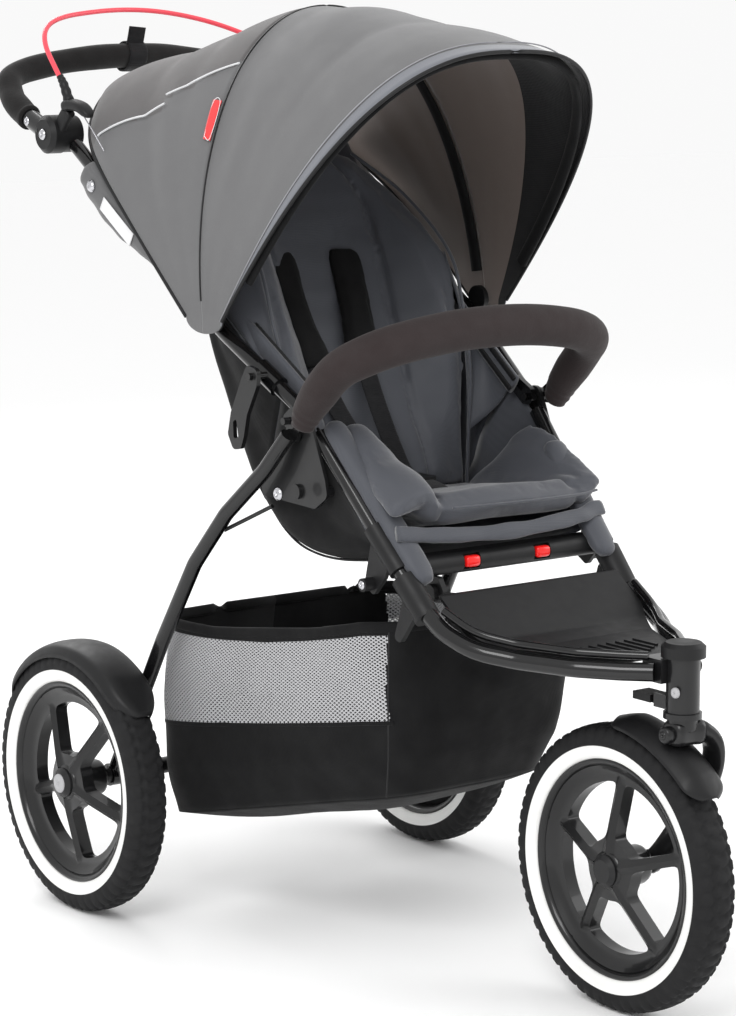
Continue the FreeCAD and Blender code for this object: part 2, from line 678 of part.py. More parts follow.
UPPER_ROUTE = ((FOLD[0] + 1, FOLD[1] + 19, FOLD[2] + 12),
               (size("canopy_half") - 24, size("canopy_y"), size("canopy_z")),
               (HUB[0], HUB[1] - 19.5, HUB[2] - 12.5))
HOOK_PIVOT = (-4, 632)


def upper_tubes():
    """Tubes from the fold pivots up to the handle hubs, with a flat tongue on each pivot."""
    for word, side in SIDES:
        name = f"upper_tube_{word}"
        bar = tube(name + "_bar", mirror_route(side, UPPER_ROUTE), "sizes.frame_tube", 200)
        tongue = plate(name + "_tongue", ((-70, 582), (-66, 600), (-38, 614), (-28, 600), (-52, 582)),
                       span(side, 148, 154), "6", corner=6)
        hole = cylinder(name + "_hole", "sizes.pin_diameter / 2 + sizes.running_gap", "40",
                        (span(side, 140, 180), FOLD[1], FOLD[2]))
        parts = [bar, tongue]
        if side < 0:
            low, high = mirror_route(side, UPPER_ROUTE[:2])
            direction = Vector(*high) - Vector(*low)
            clamp_start = Vector(*low) + direction * 0.25
            parts.append(cylinder(name + "_clamp", "sizes.frame_tube / 2 + 3", "34", tuple(clamp_start),
                                  direction))
            parts.append(cylinder(name + "_hook_pin", "4", "24", (-192, *HOOK_PIVOT)))
        keep(cut(name + "_cut", fuse(name + "_whole", parts), hole), name)


def handle_hubs():
    """Round height-adjust hubs: the inner half is fixed to the tube, the cap turns with the handle."""
    for word, side in SIDES:
        disc = cylinder(f"handle_hub_{word}_disc", "21", "19.7",
                        (span(side, HUB[0] - 10, HUB[0] + 9.7), HUB[1], HUB[2]))
        bar_hole = tube(f"handle_hub_{word}_hole", mirror_route(side, UPPER_ROUTE), "sizes.frame_tube", 200)
        keep(cut(f"handle_hub_{word}_cut", disc, bar_hole), f"handle_hub_{word}")


HANDLE_ROUTE = ((192.5, 397, 878.5), (192.5, 440, 895), (191, 474, 914), (172, 505, 937), (112, 516, 950),
                (38, 511, 958))


def handlebar():
    """U-shaped bar with a foam grip, turning on the two hubs."""
    near = mirror_route(-1, HANDLE_ROUTE)
    far = [(x, y, z) for x, y, z in reversed(HANDLE_ROUTE)]
    bar = tube("handlebar_bar", near + far, "sizes.handle_tube", 80)
    keep(bar, "handlebar_tube")
    grip_points = near[1:] + far[:-1]
    keep(sleeve("handlebar_foam", grip_points, "sizes.grip_diameter", "sizes.handle_tube", 80),
         "handlebar_grip")
    caps = []
    depth = 21.9
    for word, side in SIDES:
        start = span(side, HUB[0] + 10.2, HUB[0] + 10.2 + depth)
        profile = ((0, 0), (0, 22), (depth - 5, 22), (depth, 17), (depth, 0))
        if side < 0:
            profile = tuple((depth - x, r) for x, r in profile)
        disc = revolved(f"handle_cap_{word}_disc", [(x + start, r) for x, r in profile],
                        (0, HUB[1], HUB[2]))
        hole = cylinder(f"handle_cap_{word}_hole", "sizes.handle_tube / 2", "60",
                        (side * 192.5, HUB[1] + 12, HUB[2] + 4.5),
                        (0, 49, 18.5))
        caps.append(cut(f"handle_cap_{word}_cut", disc, hole))
    keep(group("handle_cap_pair", caps), "handle_caps")


CABLE_ROUTE = ((-189, 355, 924), (-190, 379, 951), (-187, 406, 977), (-172, 426, 996), (-140, 444, 1006),
               (-95, 456, 1011),
               (-48, 465, 1014), (0, 468, 1013), (46, 465, 1007), (92, 457, 996), (134, 441, 979),
               (168, 415, 965),
               (187, 379, 948), (189, 355, 924))


def fold_cable():
    """Sheathed release cable in an arch between two clamp housings on the handlebar."""
    for word, side in SIDES:
        tip = CABLE_ROUTE[0] if side < 0 else CABLE_ROUTE[-1]
        lean = Rotation(X_AXIS, -30)
        housing = box(f"cable_housing_{word}_block", (0, 0, 0), (14, 18, 23))
        housing.Placement = Placement(Vector(*tip) + lean.multVec(Vector(-7, -9, -23)), lean)
        soft = filleted(f"cable_housing_{word}_soft", housing, (1, 3, 5, 7), 3)
        lug = plate(f"cable_housing_{word}_lug", ((372, 884), (390, 900), (366, 914), (338, 904)),
                    span(side, 189.5, 195.5),
                    "6", corner=5)
        hole = cylinder(f"cable_housing_{word}_hole", "sizes.handle_tube / 2", "90",
                        (side * 192.5, HUB[1] - 10, HUB[2] - 3.8),
                        (0, 49, 18.5))
        cap_hole = cylinder(f"cable_housing_{word}_cap", "22", "40", (span(side, 180, 220), HUB[1], HUB[2]))
        holes = fuse(f"cable_housing_{word}_holes", [hole, cap_hole])
        whole = fuse(f"cable_housing_{word}_whole", [soft, lug])
        keep(cut(f"cable_housing_{word}_cut", whole, holes), f"cable_housing_{word}")
    sheath = tube("fold_cable_sheath", CABLE_ROUTE, "sizes.cable_diameter", 400)
    keep(sheath, "fold_cable")
    _, radii = rounded_edges(CABLE_ROUTE, 400)
    print("fold cable bend radii", [round(radius) for radius in radii])


def hook_arm():
    """Storage hook on the right upper tube; its slot catches the roller when the frame is folded."""
    x = -188
    outline = ((-16, 640), (4, 644), (14, 628), (34, 590), (40, 566), (30, 550), (16, 552), (10, 566),
               (4, 590), (-14, 622))
    arm = plate("hook_blade", outline, x, "5", corner=7)
    slot = plate("hook_slot", ((24, 584), (30, 580), (29, 562), (20, 564)), x - 1, "7", corner=2.5)
    hole = cylinder("hook_hole", "4 + sizes.running_gap", "20", (x - 10, *HOOK_PIVOT))
    keep(cut("hook_cut", arm, fuse("hook_openings", [slot, hole])), "storage_hook")


# ---------------------------------------------------------------- canopy

CANOPY_AXIS = (size("canopy_y"), size("canopy_z") + 15)


def arch_point(angle, turn, half, radius, power):
    """Point of a canopy arch: turn 0 is the right end, 180 the left; a lower power is a squarer arch."""
    cosine, sine = math.cos(math.radians(turn)), math.sin(math.radians(turn))
    x = -half * math.copysign(abs(cosine) ** power, cosine)
    reach = radius * abs(sine) ** power
    return (x, CANOPY_AXIS[0] + reach * math.cos(math.radians(angle)),
            CANOPY_AXIS[1] + reach * math.sin(math.radians(angle)))


def arch_band(angle, half, radius, power, wall):
    turns = [9, 20, 33, 46, 60, 75, 90, 105, 120, 134, 147, 160, 171]
    outer = [arch_point(angle, turn, half, radius, power) for turn in turns]
    inner = [arch_point(angle, turn, half - wall, radius - wall, power) for turn in reversed(turns)]
    return loop(outer + inner)


def canopy():
    """Fabric canopy in two panels between the fixed rear edge, the middle bow and the front bow."""
    rim = size("canopy_radius")
    half = size("canopy_half") + 6
    rear = [(39, rim + 38, 0.75), (52, rim - 6, 0.78), (66, rim - 41, 0.82), (78.5, rim - 54, 0.86)]
    front = [(79.5, rim - 54, 0.86), (95, rim - 46, 0.82), (114, rim - 32, 0.76), (133, rim, 0.72)]
    for name, stations in (("canopy_rear", rear), ("canopy_front", front)):
        bands = [arch_band(angle, half, radius, power, WALL) for angle, radius, power in stations]
        keep(feature(name + "_panel", Part.makeLoft(bands, True, True)), name)
    bows = (("canopy_middle_bow", 79, rim - 63, 0.86, 189.6, 12, 186.9, 16),
            ("canopy_front_bow", 131, rim - 12, 0.72, 195.3, 2, 189.8, 9))
    for name, angle, radius, power, wide, foot, eye_start, eye_radius in bows:
        turns = (14, 32, 55, 79, 101, 125, 148, 166)
        arch = [arch_point(angle, turn, wide, radius, power) for turn in turns]
        slope = math.radians(angle)
        feet = [(side * wide, CANOPY_AXIS[0] + foot * math.cos(slope),
                 CANOPY_AXIS[1] + foot * math.sin(slope))
                for side in (-1, 1)]
        wire = tube(name + "_wire", [feet[0]] + arch + [feet[1]], "sizes.bow_diameter", 200)
        eyes = [cylinder(f"{name}_eye_{word}", str(eye_radius), "2.9",
                         (span(side, eye_start, eye_start + 2.9), *CANOPY_AXIS))
                for word, side in SIDES]
        keep(fuse(name + "_whole", [wire] + eyes), name)
    discs = [cylinder(f"canopy_hinge_{word}_disc", "15", "5.9", (span(side, 180.7, 186.6), *CANOPY_AXIS))
             for word, side in SIDES]
    keep(group("canopy_hinge_pair", discs), "canopy_hinges")


# ---------------------------------------------------------------- bumper bar

BUMPER_ROUTE = ((173, -88, 604), (173, -103, 623), (170, -130, 646), (154, -158, 665), (112, -175, 679),
                (40, -182, 688))


def bumper_bar():
    """Foam-covered bar in front of the child, on two clips at the fold pivots."""
    near = mirror_route(-1, BUMPER_ROUTE)
    far = list(reversed(BUMPER_ROUTE))
    bar = tube("bumper_bar_tube", near + far, "sizes.bumper_tube", 60)
    clips = []
    outline = ((-67, 582), (-54, 582), (-50, 594), (-62, 603), (-84, 612), (-96, 602), (-78, 590))
    for word, side in SIDES:
        layer = span(side, 174, 180)
        clips.append(plate(f"bumper_clip_{word}_plate", outline, layer, "6", corner=7))
    whole = fuse("bumper_bar_whole", [bar] + clips)
    holes = [cylinder(f"bumper_hole_{word}", "sizes.pin_diameter / 2 + sizes.running_gap", "60",
                      (span(side, 150, 210), FOLD[1], FOLD[2])) for word, side in SIDES]
    keep(cut("bumper_bar_cut", whole, fuse("bumper_holes", holes)), "bumper_bar")
    keep(sleeve("bumper_bar_foam", near[1:] + far[:-1], "sizes.bumper_foam", "sizes.bumper_tube", 60),
         "bumper_foam")


def main():
    rear_wheels()
    front_wheel()
    steering()
    front_fork()
    swivel_lever()
    front_tubes()
    lower_tubes()
    knuckles()
    roller_brackets()
    side_plates()
    crossbar()
    footplate()
    seat()
    harness()
    basket()
    rear_frame()
    brake()
    upper_tubes()
    handle_hubs()
    handlebar()
    fold_cable()
    hook_arm()
    canopy()
    bumper_bar()
    doc.recompute()
    problems = []
    for item in doc.Objects:
        if "Invalid" in item.State or "Error" in item.State:
            problems.append(f"{item.Name} {item.State} {item.getStatusString()}")
    for item in pieces:
        if item.Shape.isNull() or not item.Shape.isValid():
            problems.append(f"{item.Label} has no valid shape")
    if problems:
        raise RuntimeError("; ".join(problems))
    for item in pieces:
        item.Shape.exportStep(f"parts/{item.Label}.step")
    whole = Part.makeCompound([item.Shape for item in pieces])
    print(len(pieces), "sub-parts, overall box", whole.BoundBox)


main()
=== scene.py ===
"""Three-wheeled baby stroller: fabric, foam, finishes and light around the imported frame. In metres."""
import json
import math

import bmesh
import bpy
import numpy
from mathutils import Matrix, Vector, noise


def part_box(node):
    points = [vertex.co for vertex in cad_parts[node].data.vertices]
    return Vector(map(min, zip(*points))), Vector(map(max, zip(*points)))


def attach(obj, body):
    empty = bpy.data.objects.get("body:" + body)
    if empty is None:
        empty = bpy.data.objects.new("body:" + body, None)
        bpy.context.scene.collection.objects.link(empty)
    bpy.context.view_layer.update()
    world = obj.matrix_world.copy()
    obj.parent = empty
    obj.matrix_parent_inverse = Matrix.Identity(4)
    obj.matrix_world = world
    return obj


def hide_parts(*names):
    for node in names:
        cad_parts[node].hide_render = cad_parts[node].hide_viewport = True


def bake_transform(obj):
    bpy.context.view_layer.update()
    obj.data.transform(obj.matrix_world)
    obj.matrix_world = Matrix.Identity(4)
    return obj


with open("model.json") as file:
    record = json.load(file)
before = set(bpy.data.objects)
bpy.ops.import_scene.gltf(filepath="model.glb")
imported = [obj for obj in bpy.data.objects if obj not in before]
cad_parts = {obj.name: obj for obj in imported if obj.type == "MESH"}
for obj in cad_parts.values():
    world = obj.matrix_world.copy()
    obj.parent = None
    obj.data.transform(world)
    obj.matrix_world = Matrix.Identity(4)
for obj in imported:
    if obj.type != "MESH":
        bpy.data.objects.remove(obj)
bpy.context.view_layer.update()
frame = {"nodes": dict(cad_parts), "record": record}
SIDES = (("right", -1), ("left", 1))

CLOTH_THICK, CANOPY_THICK = 0.0016, 0.0014
SEAM_HALF = 0.0014
STRAP_HALF, STRAP_THIN = 0.0125, 0.0009


# ---------------------------------------------------------------- material nodes

def linear(red, green, blue):
    """Screen colour from 0 to 255 as linear light."""
    channels = []
    for value in (red, green, blue):
        share = value / 255
        channels.append(share / 12.92 if share <= 0.04045 else ((share + 0.055) / 1.055) ** 2.4)
    return (*channels, 1)


class Finish:
    """A node material with a colour that varies a little and a relief built up in layers."""

    def __init__(self, name, colour, roughness, spread=0.12, grain=9.0, coords="Object"):
        self.material = bpy.data.materials.new(name)
        self.material.use_nodes = True
        self.tree = self.material.node_tree
        self.shader = self.tree.nodes["Principled BSDF"]
        self.place = self.tree.nodes.new("ShaderNodeTexCoord").outputs[coords]
        self.solid = self.tree.nodes.new("ShaderNodeTexCoord").outputs["Object"]
        self.height = None
        dark = [channel * (1 - spread) for channel in colour[:3]] + [1]
        light = [min(1, channel * (1 + spread)) for channel in colour[:3]] + [1]
        clouds = self.noise(grain, 4)
        self.colour = self.mix(clouds, dark, light)
        self.link(self.colour, self.shader.inputs["Base Color"])
        spans = {"From Min": 0.3, "From Max": 0.7, "To Min": roughness * 0.88,
                 "To Max": min(1, roughness * 1.12)}
        uneven = self.node("ShaderNodeMapRange", spans)
        self.link(self.noise(grain * 5, 3), uneven.inputs["Value"])
        self.link(uneven.outputs["Result"], self.shader.inputs["Roughness"])

    def node(self, kind, inputs=None, **settings):
        item = self.tree.nodes.new(kind)
        for key, value in settings.items():
            setattr(item, key, value)
        for key, value in (inputs or {}).items():
            item.inputs[key].default_value = value
        return item

    def link(self, source, target):
        self.tree.links.new(source, target)

    def noise(self, scale, detail=2, place=None):
        item = self.node("ShaderNodeTexNoise", {"Scale": scale, "Detail": detail})
        self.link(place or self.solid, item.inputs["Vector"])
        return item.outputs["Fac"]

    def mix(self, share, first, second):
        item = self.node("ShaderNodeMix", data_type="RGBA")
        self.link(share, item.inputs["Factor"])
        for socket, value in (("A", first), ("B", second)):
            target = next(s for s in item.inputs if s.name == socket and s.type == "RGBA")
            if isinstance(value, (list, tuple)):
                target.default_value = value
            else:
                self.link(value, target)
        return next(s for s in item.outputs if s.type == "RGBA")

    def math(self, operation, first, second=0.0):
        item = self.node("ShaderNodeMath", operation=operation)
        for index, value in enumerate((first, second)):
            if isinstance(value, (int, float)):
                item.inputs[index].default_value = value
            else:
                self.link(value, item.inputs[index])
        return item.outputs[0]

    def stripes(self, pitch, turn=(0, 0, 0), place=None):
        """Soft bands of that pitch across the texture's first axis, after a turn in degrees."""
        mapping = self.node("ShaderNodeMapping")
        mapping.inputs["Rotation"].default_value = [math.radians(angle) for angle in turn]
        self.link(place or self.place, mapping.inputs["Vector"])
        bands = self.node("ShaderNodeTexWave", {"Scale": math.pi / 10 / pitch, "Distortion": 0.0})
        self.link(mapping.outputs["Vector"], bands.inputs["Vector"])
        return bands.outputs["Fac"]

    def relief(self, source, strength, distance):
        item = self.node("ShaderNodeBump", {"Strength": strength, "Distance": distance})
        self.link(source, item.inputs["Height"])
        if self.height is not None:
            self.link(self.height, item.inputs["Normal"])
        self.height = item.outputs["Normal"]
        self.link(self.height, self.shader.inputs["Normal"])
        return self

    def set(self, **values):
        for key, value in values.items():
            self.shader.inputs[key.replace("_", " ")].default_value = value
        return self


def woven(name, colour, pitch=0.0011, coords="Object", sheen=0.25, roughness=0.8, depth=0.0003, spread=0.07):
    """Plain-weave cloth: two crossed sets of threads, painted shade darkening the gaps between them, and a
    soft sheen.
    """
    cloth = Finish(name, colour, roughness, spread=spread, grain=7, coords=coords)
    turn = (0, 0, 90) if coords == "UV" else (0, 45, 90)
    warp = cloth.stripes(pitch)
    weft = cloth.stripes(pitch, turn)
    threads = cloth.math("MULTIPLY", cloth.math("ADD", warp, weft), 0.5)
    # Painted shade: the colour is darkened where the thread relief is low, in the gaps between the threads.
    gap_shaded = cloth.mix(threads, [channel * 0.86 for channel in colour[:3]] + [1], cloth.colour)
    cloth.link(gap_shaded, cloth.shader.inputs["Base Color"])
    cloth.relief(threads, 0.35, depth)
    cloth.relief(cloth.noise(60, 3), 0.12, 0.0012)
    cloth.set(Sheen_Weight=sheen, Sheen_Roughness=0.45, Specular_IOR_Level=0.18)
    return cloth.material


def moulded(name, colour, roughness=0.45, grain_depth=0.00025, coat=0.0, metallic=0.0, specular=0.28):
    """Moulded or painted surface with a fine grain."""
    finish = Finish(name, colour, roughness, spread=0.1, grain=14)
    finish.relief(finish.noise(900, 2), 0.25, grain_depth)
    finish.set(Coat_Weight=coat, Coat_Roughness=0.05, Metallic=metallic, Specular_IOR_Level=specular)
    return finish.material


def cellular(name, colour):
    """Closed-cell foam: small open pores over a slow waviness."""
    finish = Finish(name, colour, 0.86, spread=0.16, grain=11)
    pores = finish.node("ShaderNodeTexVoronoi", {"Scale": 480.0})
    finish.link(finish.solid, pores.inputs["Vector"])
    finish.relief(pores.outputs["Distance"], 0.35, 0.0005)
    finish.relief(finish.noise(38, 3), 0.2, 0.0016)
    finish.set(Sheen_Weight=0.08, Sheen_Roughness=0.5, Specular_IOR_Level=0.2)
    return finish.material


def netting(name, colour, pitch=0.0040):
    """Knitted mesh: two diagonal sets of cords with real holes between them."""
    net = Finish(name, colour, 0.6, spread=0.1, grain=12, coords="UV")
    first = net.stripes(pitch, (0, 0, 52))
    second = net.stripes(pitch, (0, 0, -52))
    cords = net.math("MAXIMUM", first, second)
    solid = net.node("ShaderNodeMapRange", {"From Min": 0.70, "From Max": 0.82})
    net.link(cords, solid.inputs["Value"])
    net.link(solid.outputs["Result"], net.shader.inputs["Alpha"])
    net.relief(cords, 0.6, 0.0007)
    return net.material


def webbing(name, colour):
    """Woven strap: ribs across, fine threads along."""
    strap = Finish(name, colour, 0.72, spread=0.08, grain=20)
    strap.relief(strap.stripes(0.0016, (0, 45, 90)), 0.5, 0.0005)
    strap.relief(strap.stripes(0.0009), 0.3, 0.0003)
    strap.set(Sheen_Weight=0.12, Sheen_Roughness=0.4, Specular_IOR_Level=0.2)
    return strap.material


def rubber(name, colour):
    finish = Finish(name, colour, 0.72, spread=0.14, grain=16)
    finish.relief(finish.noise(420, 3), 0.3, 0.0004)
    finish.set(Specular_IOR_Level=0.22)
    return finish.material


FABRIC_GREY = linear(103, 103, 104)
ROOF_GREY = linear(92, 90, 90)
VISOR_GREY = linear(116, 118, 124)
LINING_TAUPE = linear(112, 101, 95)
SEAT_SLATE = linear(76, 78, 84)
DEEP_BLACK = linear(15, 15, 16)

MATERIALS = {
    "gloss_black_tube": moulded("gloss black paint", linear(12, 12, 13), 0.2, 0.00005, coat=0.45),
    "black_plastic": moulded("moulded black plastic", linear(22, 22, 23), 0.46),
    "satin_black_steel": moulded("satin black paint", linear(20, 20, 21), 0.36, 0.0001, coat=0.3),
    "rim_plastic": moulded("satin rim plastic", linear(17, 17, 18), 0.34, 0.0001, coat=0.35),
    "cap_plastic": moulded("cap plastic", linear(30, 30, 31), 0.4),
    "tyre_rubber": rubber("tyre rubber", linear(28, 28, 29)),
    "foam": cellular("black handle foam", linear(26, 25, 25)),
    "red_plastic": moulded("red button plastic", linear(236, 28, 26), 0.3, 0.00005, coat=0.5),
    "red_sheath": moulded("red cable sheath", linear(233, 74, 88), 0.4, 0.0001, coat=0.3),
    "seat_fabric": woven("slate seat cloth", SEAT_SLATE, sheen=0.35, roughness=0.5),
    "canopy_fabric": woven("grey canopy cloth", FABRIC_GREY, coords="UV"),
    "black_fabric": woven("black cloth", DEEP_BLACK, sheen=0.05),
}
ROOF_CLOTH = woven("darker roof cloth", ROOF_GREY, coords="UV")
VISOR_CLOTH = woven("lighter visor binding", VISOR_GREY, coords="UV", sheen=0.5)
LINING_CLOTH = woven("taupe lining", LINING_TAUPE, coords="UV", sheen=0.35, roughness=0.5)
SHADE_NET = woven("black shade net", linear(16, 16, 18), pitch=0.0024, coords="UV", depth=0.0006)
WINDOW_NET = netting("basket window net", linear(176, 176, 178))
STRAP = webbing("black webbing", linear(22, 22, 24))
PIPING = moulded("black piping", linear(26, 26, 27), 0.55)
REFLECTIVE = moulded("pale reflective piping", linear(205, 206, 208), 0.35, 0.0001)
TAG_RED = woven("red woven tag", linear(228, 66, 68), pitch=0.0008)
PAPER = moulded("white printed label", linear(225, 225, 226), 0.6)
WHITE_RUBBER = rubber("white side ring rubber", linear(236, 236, 234))
BUMPER_FOAM = cellular("brown-black bumper foam", linear(46, 39, 39))
BRIGHT_STEEL = moulded("bright steel", linear(196, 196, 200), 0.22, 0.00003, metallic=1.0, specular=0.5)
PALE_PLASTIC = moulded("pale grey plastic", linear(168, 168, 170), 0.42)
WRAP_CLOTH = woven("heather frame wrap", linear(98, 98, 99), pitch=0.0016, spread=0.3)
THREAD = moulded("grey thread", linear(140, 140, 144), 0.7)


# ---------------------------------------------------------------- mesh helpers

def mesh_object(name, vertices, faces, materials, uvs=None, picks=None):
    mesh = bpy.data.meshes.new(name)
    mesh.from_pydata([tuple(vertex) for vertex in vertices], [], faces)
    for material in materials:
        mesh.materials.append(material)
    if picks:
        mesh.polygons.foreach_set("material_index", picks)
    if uvs:
        layer = mesh.uv_layers.new(name="cloth")
        for loop in mesh.loops:
            layer.data[loop.index].uv = uvs[loop.vertex_index]
    mesh.validate()
    mesh.polygons.foreach_set("use_smooth", [True] * len(mesh.polygons))
    piece = bpy.data.objects.new(name, mesh)
    bpy.context.scene.collection.objects.link(piece)
    return piece


def outward(piece, weld=None):
    """Turns every face outward, after joining points that lie closer than weld."""
    work = bmesh.new()
    work.from_mesh(piece.data)
    if weld:
        bmesh.ops.remove_doubles(work, verts=work.verts, dist=weld)
    bmesh.ops.recalc_face_normals(work, faces=work.faces)
    work.to_mesh(piece.data)
    work.free()
    return piece


def final(piece):
    """Applies the modifiers, so the mesh is the last one."""
    graph = bpy.context.evaluated_depsgraph_get()
    shape = bpy.data.meshes.new_from_object(piece.evaluated_get(graph))
    piece.modifiers.clear()
    piece.data = shape
    return piece


def thicken(piece, thickness, offset=-1.0, inner=0):
    """Gives a sheet its thickness; inner is how far the inner side's material is after the outer's."""
    solid = piece.modifiers.new("cloth thickness", "SOLIDIFY")
    solid.thickness = thickness
    solid.offset = offset
    solid.material_offset = inner
    solid.material_offset_rim = 0
    return final(piece)


def smooth_route(controls, count):
    """Points spread along a smooth curve through the controls."""
    places = [Vector(control) for control in controls]
    places = [2 * places[0] - places[1]] + places + [2 * places[-1] - places[-2]]
    runs = len(places) - 3
    route = []
    for step in range(count):
        position = step / (count - 1) * runs
        run = min(int(position), runs - 1)
        t = position - run
        a, b, c, d = places[run:run + 4]
        route.append(0.5 * ((2 * b) + (c - a) * t + (2 * a - 5 * b + 4 * c - d) * t ** 2
                            + (3 * b - a - 3 * c + d) * t ** 3))
    return route


def between(table, position):
    """Value at a position in a table of (position, value) rows, with straight runs."""
    return float(numpy.interp(position, [row[0] for row in table], [row[1] for row in table]))


def sweep(name, controls, wide, high, material, side=(1, 0, 0), count=40, around=16, square=2.0, shape=None):
    """Closed form along a route. wide and high are half sizes, or functions of the share of the length."""
    route = smooth_route(controls, count)
    vertices, faces = [], []
    for index, place in enumerate(route):
        ahead = (route[min(index + 1, count - 1)] - route[max(index - 1, 0)]).normalized()
        across = (Vector(side) - ahead * ahead.dot(Vector(side))).normalized()
        rise = ahead.cross(across)
        share = index / (count - 1)
        half_wide = wide(share) if callable(wide) else wide
        half_high = high(share) if callable(high) else high
        for step in range(around):
            angle = 2 * math.pi * step / around
            cosine, sine = math.cos(angle), math.sin(angle)
            x = math.copysign(abs(cosine) ** (2 / square), cosine) * half_wide
            y = math.copysign(abs(sine) ** (2 / square), sine) * half_high
            grow = shape(share, angle) if shape else 1
            vertices.append(place + across * x * grow + rise * y * grow)
    for index in range(count - 1):
        for step in range(around):
            following = (step + 1) % around
            low, up = index * around, (index + 1) * around
            faces.append((low + step, low + following, up + following, up + step))
    faces.append(tuple(range(around - 1, -1, -1)))
    faces.append(tuple((count - 1) * around + step for step in range(around)))
    return outward(mesh_object(name, vertices, faces, [material]))


def run_length(points):
    return sum((a - b).length for a, b in zip(points, points[1:]))


def grid(name, point, columns, rows, materials, pick=None):
    """Open sheet from point(u, v), with u and v from 0 to 1 and texture coordinates in metres."""
    places = [[Vector(point(column / columns, row / rows)) for column in range(columns + 1)]
              for row in range(rows + 1)]
    tall = max(run_length([row[column] for row in places]) for column in range(columns + 1))
    middle = places[rows // 2]
    along = [run_length(middle[:column + 1]) for column in range(columns + 1)]
    vertices, uvs, faces, picks = [], [], [], []
    for row in range(rows + 1):
        for column in range(columns + 1):
            vertices.append(places[row][column])
            uvs.append((along[column], row / rows * tall))
    for row in range(rows):
        for column in range(columns):
            first = row * (columns + 1) + column
            faces.append((first, first + 1, first + columns + 2, first + columns + 1))
            picks.append(pick((column + 0.5) / columns, (row + 0.5) / rows) if pick else 0)
    return mesh_object(name, vertices, faces, materials, uvs, picks)


def pad(name, columns, front, back, materials, seams=(), rows=36, edge=6, wrinkle=0.0022, ends=8):
    """Closed cushion over a surface. Each column is a run of points along it, from one side to the other."""
    wide = (len(columns) - 1) * 9
    runs = [smooth_route(column, rows + 1) for column in columns]
    surface = []
    for row in range(rows + 1):
        surface.append(smooth_route([run[row] for run in runs], wide + 1))
    top, bottom = [], []
    for row in range(rows + 1):
        for column in range(wide + 1):
            left, right = surface[row][max(column - 1, 0)], surface[row][min(column + 1, wide)]
            low, high = surface[max(row - 1, 0)][column], surface[min(row + 1, rows)][column]
            normal = (right - left).cross(high - low).normalized()
            u, v = column / wide, row / rows
            bulge = (1 - abs(2 * u - 1) ** edge) * (1 - abs(2 * v - 1) ** ends)
            bulge = math.sqrt(max(0.0, bulge))
            for at, width, depth in seams:
                bulge *= 1 - depth * math.exp(-((u - at) / width) ** 2)
            place = surface[row][column]
            fine = noise.noise(Vector((place.x * 14, place.y * 42, place.z * 42))) * wrinkle
            crease = fine + noise.noise(place * 11) * wrinkle * 1.6
            top.append(place + normal * (front * bulge + crease * bulge))
            bottom.append(place - normal * back * bulge)
    total = (rows + 1) * (wide + 1)
    faces = []
    for row in range(rows):
        for column in range(wide):
            first = row * (wide + 1) + column
            quad = (first, first + 1, first + wide + 2, first + wide + 1)
            faces.append(quad)
            faces.append(tuple(total + corner for corner in reversed(quad)))
    return outward(mesh_object(name, top + bottom, faces, materials), weld=1e-5)


def lathe(name, profile, centre, materials, steps=96, pick=None, radius=None):
    """Ring or disc turned about an axis along x. profile is (x, r) pairs; radius may change r by angle."""
    closed = profile[0][1] > 1e-6
    vertices, faces, picks = [], [], []
    for step in range(steps):
        angle = 2 * math.pi * step / steps
        for x, r in profile:
            reach = radius(x, r, angle) if radius else r
            vertices.append(Vector(centre) + Vector((x, reach * math.cos(angle), reach * math.sin(angle))))
    size = len(profile)
    for step in range(steps):
        following = (step + 1) % steps
        for index in range(size if closed else size - 1):
            upper = (index + 1) % size
            faces.append((step * size + index, step * size + upper, following * size + upper,
                          following * size + index))
            picks.append(pick(profile[index], profile[upper]) if pick else 0)
    return outward(mesh_object(name, vertices, faces, materials, None, picks), weld=1e-6)


def bolt(name, place, radius, depth, body, material=None, outward_x=-1, socket=True):
    """Domed bolt head on an axis along x, with a socket in its middle."""
    profile = [(0, 0.0005), (0, radius), (depth * 0.35, radius), (depth * 0.8, radius * 0.72),
               (depth, radius * 0.42)]
    if socket:
        profile += [(depth * 0.55, radius * 0.38), (depth * 0.5, 0.0003)]
    else:
        profile += [(depth * 1.02, 0.0003)]
    profile = [(outward_x * x, r) for x, r in profile]
    piece = lathe(name, profile, place, [material or BRIGHT_STEEL], steps=28)
    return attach(piece, body)


